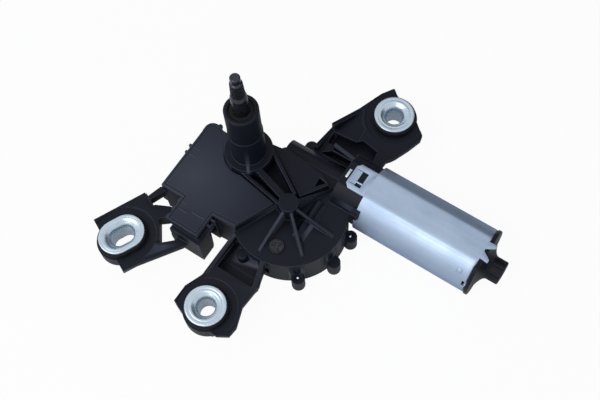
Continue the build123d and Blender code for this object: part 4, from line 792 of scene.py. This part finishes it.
class WIPER_OT_housing(bpy.types.Operator):
    """Works over the housing: beams, pockets, thin rims, screw holes and rounded corners"""

    bl_idname = "wiper.housing"
    bl_label = "Gear housing"

    # Levels on the housing, in millimetres from the tower's base
    OVER_BEAMS = -10.5
    OVER_PADS = -15.9
    RIM_FOOT = -18.6
    POCKET_FLOOR = -22.6
    BEAM_FOOT = -24.7
    UNDER_ARMS = -26.0

    # What is cut away, as an outline with its lower and upper level
    CUTS = (
        # Beside the left arm's upper beam, and under it
        (
            [(-38.5, -42.7), (-38.5, -40.0), (-29.6, -35.5), (-32.6, -45.0), (-34.6, -44.0)],
            BEAM_FOOT, OVER_BEAMS,
        ),
        (
            [(-34.0, -44.3), (-31.0, -38.1), (-25.0, -38.1), (-28.5, -46.4), (-30.0, -46.4)],
            BEAM_FOOT, -16.6,
        ),
        ([(-30.4, -46.2), (-27.0, -38.1), (-25.2, -38.1), (-28.9, -46.3)], BEAM_FOOT, OVER_BEAMS),
        # The opening between the left arm and the socket
        (
            [(-16.6, -62.2), (-14.1, -61.3), (-8.2, -55.8), (-8.8, -54.2), (-12.1, -54.2),
             (-12.1, -51.9)],
            UNDER_ARMS, OVER_PADS,
        ),
        # Under the near edges of the left, right and lower arm
        (
            [(-26.2, -80.9), (-26.6, -82.5), (-20.3, -85.2), (-14.0, -76.5), (-1.2, -56.8),
             (-2.6, -54.2), (-7.0, -57.5), (-17.6, -72.0), (-21.6, -72.6), (-23.5, -76.6)],
            UNDER_ARMS, RIM_FOOT,
        ),
        (
            [(69.0, 62.0), (69.0, 57.0), (65.8, 49.2), (62.3, 41.3), (59.4, 37.6), (59.2, 33.0),
             (56.4, 33.0), (56.4, 39.2), (59.3, 43.0), (62.4, 50.6), (64.6, 58.0), (64.2, 62.6)],
            UNDER_ARMS, RIM_FOOT,
        ),
        (
            [(34.4, -85.2), (34.4, -87.0), (45.0, -87.0), (45.5, -77.0), (42.0, -66.8), (43.0, -53.0),
             (38.6, -40.5), (36.6, -41.5), (40.0, -53.8), (39.2, -57.0), (38.6, -66.5), (40.8, -76.5),
             (40.3, -81.2), (37.0, -83.2)],
            UNDER_ARMS, RIM_FOOT,
        ),
        # The right arm's pocket: wider towards the motor and cut back under its far edge
        (
            [(26.9, 31.4), (26.9, 38.3), (39.7, 39.4), (42.4, 42.0), (51.7, 40.3), (53.0, 31.9)],
            POCKET_FLOOR, OVER_PADS,
        ),
        ([(27.1, 33.0), (27.1, 43.5), (52.0, 45.5), (52.8, 33.0)], POCKET_FLOOR, -17.5),
        # The shallow step beside the right bush
        (
            [(26.3, 40.4), (25.9, 43.6), (33.0, 57.4), (34.2, 54.0), (36.8, 50.4), (39.4, 48.6),
             (40.1, 41.2)],
            -16.7, OVER_PADS,
        ),
        # The lower arm's pocket, cut back under its rim
        ([(17.2, -50.0), (17.0, -58.0), (38.0, -58.0), (38.0, -50.0)], -23.4, -17.6),
        # The end of the left beam's wall, level with the pad
        (
            [(-39.6, -42.9), (-38.5, -42.2), (-34.5, -43.5), (-34.2, -44.6), (-35.5, -45.4)],
            OVER_PADS, OVER_BEAMS,
        ),
        # The lug in the tab's window, lower than the tab
        ([(54.6, 11.2), (59.2, 11.2), (59.2, 21.4), (54.6, 21.4)], -1.9, -0.9),
        # The socket's corner towards the drum
        ([(0.7, -39.8), (5.6, -44.2), (6.5, -45.8), (7.5, -45.8), (7.5, -39.8)], -28.5, -10.2),
    )

    # What is added: the box's corner, and the wall that closes the socket behind its cut corner
    CORNER_LEVELS = (-20.0, -6.0)
    SOCKET_LEVELS = (-27.99, -12.0)
    SOCKET_WALL = [
        (0.7, -39.0), (0.7, -39.8), (5.6, -44.2), (6.2, -45.6),
        (4.3, -46.2), (4.1, -45.1), (-1.4, -40.2), (-1.4, -39.0),
    ]

    # Where screws come up through two of the drum's ears, and their holes
    SCREWS = ((53.4, -37.8), (63.6, -4.9))
    HOLE_RADIUS = 2.1
    HOLE_LEVELS = (-23.4, -21.5)

    # The round rib's place, and its profile with that of a screw's tip
    RIB_PLACE = (24.2, -43.6)
    RIB = ((0.4, -17.2), (2.2, -17.2), (2.9, -17.8), (3.0, -22.9), (0.4, -22.9))
    SCREW_TIP = ((0.15, -21.75), (0.5, -21.85), (0.75, -22.1), (0.8, -23.6), (0.2, -23.6))

    def shell(self):
        """The moulding itself, with what is added to it and cut from it."""
        shell = copy_node("gear_housing")
        cut_with(shell, prism(BOX_CORNER, *self.CORNER_LEVELS), "UNION")
        cut_with(shell, prism(self.SOCKET_WALL, *self.SOCKET_LEVELS), "UNION")
        for outline, low, high in self.CUTS:
            cut_with(shell, prism(outline, low, high))
        for place in self.SCREWS:
            cut_with(shell, prism(ring_points(place, self.HOLE_RADIUS), *self.HOLE_LEVELS))
        close_piece(
            shell, "housing_moulding", "black_moulding", MOULDED_ANGLE,
            "gear_housing",
        )

    def post(self, place, profile, segments):
        """A small round piece that stands upright at a place."""
        piece = turned(mm(*place, 0), "Z", in_metres(profile), segments)
        close_ends(piece)
        return piece

    def earth_clip(self):
        """A narrow foot and a raised, rounded blade beside the can's tab."""
        foot = soft_block((48.5, 16.8, -2.2), (50.0, 19.0, -1.8), 0.15)
        blade = soft_block((48.6, 13.6, -2.2), (50.1, 17.9, -1.1), 0.5, 4)
        join_pieces(foot, [blade])
        close_piece(foot, "clip_blade", "bright_clip", 40.0, "earth_clip")

    def execute(self, context):
        self.shell()
        rib = self.post(self.RIB_PLACE, self.RIB, 32)
        close_piece(rib, "pocket_rib", "black_moulding", 30.0)
        for number, place in enumerate(self.SCREWS, 1):
            tip = self.post(place, self.SCREW_TIP, 20)
            close_piece(tip, f"screw_tip_{number}", "bright_clip", 40.0)
        self.earth_clip()
        return {"FINISHED"}


class WIPER_OT_cover(bpy.types.Operator):
    """Works over the electronics cover: rounded corner, rim groove, ribs, catches and hooks"""

    bl_idname = "wiper.cover"
    bl_label = "Electronics cover"

    # The corner's levels, and the narrow groove inside the rim, in millimetres
    CORNER_LEVELS = (-6.0, -4.0)
    GROOVE_LEVELS = (-4.5, -3.9)
    GROOVE_WIDTH = 0.42
    GROOVE = [
        (-18.6, 2.1), (-20.6, 3.3), *arc_points(CORNER_CENTRE, 3.0, 90, 180, 5), (-26.6, -36.6),
        (-13.6, -36.6), (-13.6, -50.2), (2.6, -50.2), (2.6, -36.7), (15.6, -35.6), (18.2, -30.5),
    ]

    # Rounded blocks on the cover: two corners, the edges' radius and its steps
    CATCHES = (
        ((-29.3, -12.9, -7.0), (-27.6, -11.3, -4.3), 0.5, 3),
        ((-29.0, -16.9, -7.0), (-27.6, -15.3, -4.6), 0.4, 3),
        ((-22.9, 4.4, -7.5), (-20.9, 6.2, -4.4), 0.6, 3),
    )
    RIBS = (
        ((-25.8, -12.3, -4.4), (-22.2, -11.9, -3.85), 0.12),
        ((-25.8, -16.7, -4.4), (-21.6, -16.3, -3.85), 0.12),
        ((-12.6, -44.0, -4.4), (-7.4, -43.5, -3.82), 0.15),
        ((-5.6, -42.2, -4.4), (2.0, -41.7, -3.82), 0.15),
        ((-12.8, -40.2, -4.4), (-10.9, -39.8, -3.85), 0.12),
    )
    HOOKS = (
        ((3.6, -44.0, -9.5), (6.3, -42.6, -5.6), 0.25),
        ((5.2, -43.0, -8.5), (6.3, -40.9, -6.4), 0.25),
        ((3.6, -40.6, -9.5), (6.6, -39.4, -5.2), 0.25),
    )

    def execute(self, context):
        lid = copy_node("electronics_cover")
        cut_with(lid, prism(BOX_CORNER, *self.CORNER_LEVELS), "UNION")
        cut_with(lid, prism(strip(self.GROOVE, self.GROOVE_WIDTH), *self.GROOVE_LEVELS))
        join_pieces(lid, [soft_block(*sizes) for sizes in self.CATCHES + self.RIBS + self.HOOKS])
        close_piece(
            lid, "cover_moulding", "cover_plastic", MOULDED_ANGLE,
            "electronics_cover",
        )
        return {"FINISHED"}


class WIPER_OT_motor_can(bpy.types.Operator):
    """Draws the steel can with its flats, locking tab, fingers and notches"""

    bl_idname = "wiper.motor_can"
    bl_label = "Motor can"

    TAB_LENGTH = mm(11.4)
    CUP_LENGTH = mm(64.0)
    WALL = mm(1.2)

    # The rear edge's rounding, and the neck for the rear bearing
    EDGE_WIDTH = mm(1.0)
    EDGE_LENGTH = mm(0.9)
    NECK_RADIUS = mm(5.0)
    NECK_LENGTH = mm(7.2)

    # Notches in the near side: distance from the cup's end, and levels over the axis
    FRONT_NOTCH = (mm(2.2), mm(6.7), mm(11.3))
    REAR_NOTCH = (mm(2.2), mm(3.1), mm(6.7))

    # The small lanced pip: its place round the axis, distance from the rear edge, and sizes
    PIP_ANGLE = radians(142.0)
    PIP_BACK = mm(5.6)
    PIP_SIZE = mm(2.3, 0.9, 2.3)

    def cup(self, motor, start, end):
        """The drawn cup: turned outside, pressed flat above and below, then given its wall."""
        radius, neck, tip = motor.can_radius, self.NECK_RADIUS, end + self.NECK_LENGTH
        rim = (radius - self.EDGE_WIDTH, end - self.EDGE_LENGTH)
        profile = [
            (radius, start),
            *arc_points(rim, (self.EDGE_WIDTH, self.EDGE_LENGTH), 0, 90, 3),
            *arc_points((neck + mm(0.5), end + mm(0.7)), (mm(0.5), mm(0.7)), 270, 180, 2),
            *arc_points((neck - mm(0.7), tip - mm(0.6)), (mm(0.7), mm(0.6)), 0, 90, 2),
            (mm(0.5), tip),
        ]
        can = turned((0, SHAFT_Y, SHAFT_Z), "X", profile, 112)
        close_ends(can)
        with editing(can):
            pick(can, "FACE", lambda middle, facing: facing.x < -0.9 and middle.x < start + mm(0.1))
            bpy.ops.mesh.delete(type="FACE")
            for side in (1, -1):
                level = SHAFT_Z + side * motor.can_flat
                pick(can, "VERT", lambda middle, facing: side * (middle.z - level) > 0)
                bpy.ops.transform.resize(value=(1, 1, 0), center_override=(0, 0, level))
            self.notch(can, start, -1, *self.FRONT_NOTCH)
            self.notch(can, end, 1, *self.REAR_NOTCH)
        apply_modifier(can, "SOLIDIFY", thickness=self.WALL, offset=-1)
        return can

    def notch(self, can, rim, side, depth, low, high):
        """Opens a square notch of a depth in the near side of one end's rim."""
        limit = rim - side * depth

        def near(middle, facing):
            return side * (middle.x - limit) > 0 and middle.y < SHAFT_Y - mm(11)

        def in_notch(middle, facing):
            return near(middle, facing) and low < middle.z - SHAFT_Z < high

        bpy.ops.mesh.select_all(action="SELECT")
        bpy.ops.mesh.bisect(plane_co=(limit, 0, 0), plane_no=(1, 0, 0))
        for level in (low, high):
            pick(can, "FACE", near)
            bpy.ops.mesh.bisect(plane_co=(0, 0, SHAFT_Z + level), plane_no=(0, 0, 1))
        pick(can, "FACE", in_notch)
        bpy.ops.mesh.delete(type="FACE")

    def pip(self, motor, end):
        """A small square near the rear edge, lifted on three sides."""
        settle()
        place = (
            end - self.PIP_BACK,
            SHAFT_Y + motor.can_radius * cos(self.PIP_ANGLE),
            SHAFT_Z + motor.can_radius * sin(self.PIP_ANGLE),
        )
        bpy.ops.mesh.primitive_cube_add(size=1.0, location=place, rotation=(self.PIP_ANGLE, 0, 0))
        pip = bpy.context.object
        pip.scale = self.PIP_SIZE
        bpy.ops.object.transform_apply()
        round_all(pip, 0.15, 2)
        return pip

    def tab(self, root):
        """The locking tab: chamfered corners, a window, a bar across it and a set-down tongue."""

        def front_corner(middle, facing):
            return abs(facing.z) > mm(1.0) and middle.x < root.x - mm(10.0)

        def hinge(middle, facing):
            return middle.z < root.z and middle.x < root.x - mm(9.5)

        def top_edge(middle, facing):
            return middle.z > root.z - mm(0.02) and middle.x < root.x - mm(0.1)

        tab = block_at(root, (-11.4, -7.3, -1.2), (0.02, 7.3, 0.0))
        with editing(tab):
            round_edges(tab, front_corner, 2.1, 1)
        cut_with(tab, block_at(root, (-7.1, -4.6, -2.0), (-3.8, 4.3, 1.0)))
        # The tongue slopes down towards the window
        tongue = block_at(root, (-9.9, -3.9, -0.25), (-7.0, 3.9, 0.4))
        with editing(tongue):
            pick(tongue, "VERT", hinge)
            bpy.ops.transform.translate(value=(0, 0, mm(0.25)))
        cut_with(tab, tongue)
        # A slit on each side sets it free
        for middle_y in (4.1, -4.1):
            cut_with(tab, block_at(root, (-10.0, middle_y - 0.16, -0.8), (-7.0, middle_y + 0.16, 1.0)))
        with editing(tab):
            round_edges(tab, top_edge, 0.18, 2, True)
        bar = block_at(root, (-7.6, -2.7, -1.1), (-3.4, -1.7, -0.03))
        with editing(bar):
            round_edges(bar, lambda middle, facing: abs(facing.x) > mm(1.0), 0.3, 3)
        return [tab, bar]

    def finger(self, root, side):
        """One of the two fingers folded over the end cap, with a slanted inner edge."""

        def tip(middle, facing):
            return middle.x > root.x + mm(4.0)

        def inner_tip(middle, facing):
            return tip(middle, facing) and abs(middle.y - root.y) < mm(1.0)

        def tip_corner(middle, facing):
            return tip(middle, facing) and abs(facing.z) > mm(0.5)

        def top_edge(middle, facing):
            return middle.z > root.z - mm(0.6) and abs(facing.z) < mm(0.5)

        low_y, high_y = sorted((side * 0.05, side * 4.9))
        finger = block_at(root, (-0.8, low_y, -1.15), (4.2, high_y, -0.02))
        with editing(finger):
            pick(finger, "VERT", inner_tip)
            bpy.ops.transform.translate(value=mm(0, side * 3.0, 0))
            pick(finger, "VERT", tip)
            bpy.ops.transform.translate(value=mm(0, side * 0.25, -0.35))
            round_edges(finger, tip_corner, 0.35, 3)
            round_edges(finger, top_edge, 0.2, 2, True)
        return finger

    def execute(self, context):
        motor = context.scene.wiper_motor
        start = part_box("motor_can")[0].x + self.TAB_LENGTH
        end = start + self.CUP_LENGTH
        level = SHAFT_Z + motor.can_flat
        can = self.cup(motor, start, end)
        extras = [self.pip(motor, end)]
        extras += [self.finger(Vector((end, SHAFT_Y, level)), side) for side in (1, -1)]
        extras += self.tab(Vector((start, SHAFT_Y, level)))
        join_pieces(can, extras)
        close_piece(can, "can_shell", "coated_can_steel", 38.0, "motor_can")
        return {"FINISHED"}


class WIPER_OT_end_cap(bpy.types.Operator):
    """Turns the black end cap with its flange, trumpet and notched knob"""

    bl_idname = "wiper.end_cap"
    bl_label = "End cap"

    BORE_RADIUS = mm(5.1)
    FLANGE_RADIUS = mm(18.0)
    FLANGE_FLAT = mm(14.8)
    KNOB_RADIUS = mm(6.25)

    # The trumpet: its foot and its end from the cap's start, how much wider its foot is, its curve
    TRUMPET_FOOT = mm(2.0)
    TRUMPET_END = mm(6.7)
    TRUMPET_FLARE = mm(8.1)
    TRUMPET_POWER = 2.4
    TRUMPET_STEPS = 8

    # Notches round the knob, in degrees
    NOTCH_PITCH = 45.0
    NOTCH_WIDTH = 11.0
    NOTCH_DEPTH = mm(0.7)

    def profile(self, start):
        """The cap's profile from its bore round the flange and the trumpet to the knob's dish."""
        flange, knob = self.FLANGE_RADIUS, self.KNOB_RADIUS
        trumpet = []
        for step in range(self.TRUMPET_STEPS + 1):
            share = step / self.TRUMPET_STEPS
            reach = self.TRUMPET_FOOT + (self.TRUMPET_END - self.TRUMPET_FOOT) * share
            radius = knob + self.TRUMPET_FLARE * (1 - share) ** self.TRUMPET_POWER
            trumpet.append((radius, start + reach))
        return [
            (self.BORE_RADIUS, start + mm(7.3)),
            (self.BORE_RADIUS, start),
            (flange - mm(0.3), start),
            (flange, start + mm(0.3)),
            (flange, start + mm(1.7)),
            (flange - mm(0.3), start + mm(2.0)),
            *trumpet,
            (knob, start + mm(11.6)),
            (knob - mm(0.2), start + mm(12.0)),
            (knob - mm(0.65), start + mm(12.2)),
            (mm(3.6), start + mm(12.2)),
            (mm(3.3), start + mm(11.4)),
            (mm(0.4), start + mm(11.2)),
        ]

    def execute(self, context):
        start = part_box("end_cap")[0].x
        cap = turned((0, SHAFT_Y, SHAFT_Z), "X", self.profile(start), 96)
        close_ends(cap)

        def in_notch(middle, facing):
            angle = degrees(atan2(middle.z - SHAFT_Z, middle.y - SHAFT_Y)) % self.NOTCH_PITCH
            reach = hypot(middle.y - SHAFT_Y, middle.z - SHAFT_Z)
            on_knob = start + mm(7.0) < middle.x < start + mm(12.19) and reach > mm(5.2)
            return on_knob and angle < self.NOTCH_WIDTH

        with editing(cap):
            pick(cap, "FACE", in_notch)
            depth = {"value": -self.NOTCH_DEPTH}
            bpy.ops.mesh.extrude_region_shrink_fatten(TRANSFORM_OT_shrink_fatten=depth)
            # Flats above and below the flange
            for side in (1, -1):
                bpy.ops.mesh.select_all(action="SELECT")
                bpy.ops.mesh.bisect(
                    plane_co=(0, 0, SHAFT_Z + side * self.FLANGE_FLAT),
                    plane_no=(0, 0, side),
                    use_fill=True,
                    clear_outer=True,
                )
            face_outwards()
        close_piece(cap, "cap_moulding", "gloss_moulding", 32.0, "end_cap")
        return {"FINISHED"}


class WIPER_OT_bushes(bpy.types.Operator):
    """Forms the three flanged bushes with their flared mouths, one of them slotted"""

    bl_idname = "wiper.bushes"
    bl_label = "Mounting bushes"

    # Each bush's axis and the radius of its flange, in millimetres
    BUSHES = (
        ("bush_left_slotted", (-32.0, -68.8), 9.3),
        ("bush_lower", (25.6, -76.5), 10.5),
        ("bush_right", (48.8, 62.1), 10.5),
    )

    # Half section of a round bush: barrel, flange with its ring line, and flared mouth
    BARREL = 6.3
    FLANGE = 10.5
    PROFILE = (
        (4.25, -26.5), (6.0, -26.5), (6.25, -26.25), (6.25, -13.5),
        (10.2, -13.5), (10.45, -13.35), (10.5, -13.0),
        (10.5, -12.5), (10.38, -12.2), (10.1, -12.03), (9.7, -12.0),
        (8.55, -12.0), (8.45, -12.06), (8.3, -12.06), (8.2, -12.0),
        (7.5, -12.0), (7.15, -12.08), (6.75, -12.35), (6.3, -12.75), (5.75, -13.1),
        (5.3, -13.5), (4.9, -14.1), (4.6, -14.9), (4.4, -15.8), (4.25, -17.0), (4.25, -26.5),
    )

    # How far the slotted bush is drawn out, outside and inside this radius, and how it is turned
    SLOTTED = "bush_left_slotted"
    SLOT_EDGE = mm(6.8)
    FLANGE_SPREAD = mm(5.6)
    BORE_SPREAD = mm(3.5)
    SLOT_TURN = radians(-63.5)

    def profile(self, flange):
        """The half section in metres, with its flange widened or narrowed to a radius."""
        ratio = (flange - self.BARREL) / (self.FLANGE - self.BARREL)
        return in_metres(
            (radius if radius <= self.BARREL else self.BARREL + (radius - self.BARREL) * ratio, height)
            for radius, height in self.PROFILE
        )

    def draw_out(self, bush, centre):
        """Draws a round bush out to both sides, so that it gets a slot, and turns it."""

        def in_bore(middle):
            return hypot(middle.x - centre.x, middle.y - centre.y) <= self.SLOT_EDGE

        def draw(side, bore, spread):
            def test(middle, facing):
                return side * (middle.x - centre.x) > 0 and in_bore(middle) == bore

            pick(bush, "VERT", test)
            bpy.ops.transform.translate(value=(side * spread / 2, 0, 0))

        with editing(bush):
            for side in (1, -1):
                draw(side, False, self.FLANGE_SPREAD)
                draw(side, True, self.BORE_SPREAD)
            bpy.ops.mesh.select_all(action="SELECT")
            bpy.ops.transform.rotate(value=self.SLOT_TURN, orient_axis="Z", center_override=centre)

    def execute(self, context):
        for node, place, flange in self.BUSHES:
            centre = mm(*place, 0)
            bush = turned(centre, "Z", self.profile(flange), 72)
            if node == self.SLOTTED:
                self.draw_out(bush, centre)
            close_piece(bush, node + "_plated", "plated_flange_zinc", 40.0, node)
        return {"FINISHED"}


class WIPER_OT_stage(bpy.types.Operator):
    """Lays the pale floor and sets the lamp, the sky and the camera"""

    bl_idname = "wiper.stage"
    bl_label = "Set the stage"

    WHITE = (1.0, 1.0, 1.0)
    FLOOR_PAINT = (0.86, 0.87, 0.885)
    CLOTH = (0.02, 0.022, 0.028)
    SKY = (0.9, 0.95, 1.0)

    # The lamp and what it points at, the card, and the camera, in metres
    LAMP_PLACE = (-0.2, -0.62, 0.78)
    LAMP_AIM = (0.045, 0.0, 0.0)
    LAMP_SIZE = (0.8, 0.7)
    CARD_PLACE = (0.05, 0.55, 0.2)
    CARD_SIZE = (1.6, 0.5, 1.0)
    CAMERA_PLACE = (0.1616, -0.1651, 0.4505)
    CAMERA_ANGLES = (23.7495, 2.3586, 33.2918)

    def paint(self, thing, name):
        """A new material on a thing, as the tree of its shader."""
        material = bpy.data.materials.new(name)
        thing.data.materials.append(material)
        return Shading(material)

    def matt(self, shading, colour):
        """A dull surface of one colour."""
        sockets = {"Base Color": colour, "Roughness": 0.9, "Specular IOR Level": 0.0}
        return shading.node("ShaderNodeBsdfPrincipled", {}, sockets)

    def key_lamp(self, strength):
        """One large soft lamp from the front left."""
        settle()
        bpy.ops.object.light_add(type="AREA", location=self.LAMP_PLACE)
        lamp = bpy.context.object
        lamp.name = "key_lamp"
        aim = Vector(self.LAMP_AIM) - Vector(self.LAMP_PLACE)
        lamp.rotation_euler = aim.to_track_quat("-Z", "Y").to_euler()
        lamp.data.shape = "RECTANGLE"
        lamp.data.size, lamp.data.size_y = self.LAMP_SIZE
        lamp.data.energy = strength

    def dark_card(self):
        """A dark card that stands behind the object and that only metal and plastic mirror."""
        settle()
        upright = (radians(90), 0, 0)
        bpy.ops.mesh.primitive_plane_add(size=1.0, location=self.CARD_PLACE, rotation=upright)
        card = bpy.context.object
        card.name = "dark_card"
        card.scale = self.CARD_SIZE
        bpy.ops.object.transform_apply()
        card.visible_camera = False
        shading = self.paint(card, "dark_cloth")
        shading.show(self.matt(shading, self.CLOTH))

    def white_share(self, shading, seen, mirrored):
        """How much plain white a surface shows: to the camera, and in metal and glass."""
        rays = shading.node("ShaderNodeLightPath", {}, {}, "Is Camera Ray")
        outlets = rays.socket.node.outputs
        glossy = Channel(shading, outlets["Is Glossy Ray"])
        passed = Channel(shading, outlets["Is Transmission Ray"])
        return seen * rays + mirrored * (glossy + passed)

    def whiten(self, shading, kind, lit, seen, mirrored):
        """Mixes the lit surface or sky with plain white."""
        white = shading.node(kind, {}, {"Color": self.WHITE, "Strength": 1.0})
        share = self.white_share(shading, seen, mirrored)
        shading.show(shading.node("ShaderNodeMixShader", {}, {0: share, 1: lit, 2: white}))

    def floor(self, size):
        """The pale floor, just under the object."""
        settle()
        bpy.ops.mesh.primitive_plane_add(size=size, location=(0.04, 0, cad_low.z - mm(0.02)))
        floor = bpy.context.object
        floor.name = "floor"
        bpy.ops.object.transform_apply()
        shading = self.paint(floor, "pale_floor")
        self.whiten(shading, "ShaderNodeEmission", self.matt(shading, self.FLOOR_PAINT), 0.95, 0.3)

    def sky(self, scene, strength):
        """Even light all round, white to the camera and in metal."""
        scene.world = bpy.data.worlds.new("soft_sky")
        shading = Shading(scene.world)
        lit = shading.node("ShaderNodeBackground", {}, {"Color": self.SKY, "Strength": strength})
        self.whiten(shading, "ShaderNodeBackground", lit, 1.0, 1.0)

    def camera(self, scene):
        """The camera, where the photograph was taken from."""
        bpy.ops.object.camera_add(
            location=self.CAMERA_PLACE, rotation=[radians(angle) for angle in self.CAMERA_ANGLES]
        )
        camera = bpy.context.object
        camera.name = "photo_camera"
        camera.data.lens = 60
        camera.data.sensor_width = 36
        camera.data.clip_start = 0.01
        scene.camera = camera

    def execute(self, context):
        stage = context.scene.wiper_stage
        self.floor(stage.floor_size)
        self.sky(context.scene, stage.sky_strength)
        self.key_lamp(stage.key_strength)
        self.dark_card()
        self.camera(context.scene)
        context.scene.view_settings.view_transform = "Standard"
        settle()
        return {"FINISHED"}


class WIPER_PT_sidebar(bpy.types.Panel):
    """Lists the steps that build the wiper motor's looks"""

    bl_idname = "WIPER_PT_sidebar"
    bl_label = "Rear wiper motor"
    bl_space_type = "VIEW_3D"
    bl_region_type = "UI"
    bl_category = "Wiper motor"

    def draw(self, context):
        for settings in ("wiper_stage", "wiper_housing", "wiper_motor", "wiper_bushes"):
            group = getattr(context.scene, settings)
            for name in group.bl_rna.properties.keys():
                if name not in ("rna_type", "name"):
                    self.layout.prop(group, name)
        for step in STEPS:
            self.layout.operator(step.bl_idname)


STEPS = (
    WIPER_OT_finishes,
    WIPER_OT_housing,
    WIPER_OT_cover,
    WIPER_OT_motor_can,
    WIPER_OT_end_cap,
    WIPER_OT_bushes,
    WIPER_OT_stage,
)
GROUPS = {
    "wiper_stage": StageSettings,
    "wiper_housing": HousingSettings,
    "wiper_motor": MotorSettings,
    "wiper_bushes": BushSettings,
}


def register():
    for name, group in GROUPS.items():
        bpy.utils.register_class(group)
        setattr(bpy.types.Scene, name, bpy.props.PointerProperty(type=group))
    for step in STEPS:
        bpy.utils.register_class(step)
    bpy.utils.register_class(WIPER_PT_sidebar)


def unregister():
    bpy.utils.unregister_class(WIPER_PT_sidebar)
    for step in reversed(STEPS):
        bpy.utils.unregister_class(step)
    for name, group in GROUPS.items():
        delattr(bpy.types.Scene, name)
        bpy.utils.unregister_class(group)


def main():
    register()
    for step in STEPS:
        family, name = step.bl_idname.split(".")
        getattr(getattr(bpy.ops, family), name)()


if __name__ == "__main__":
    main()
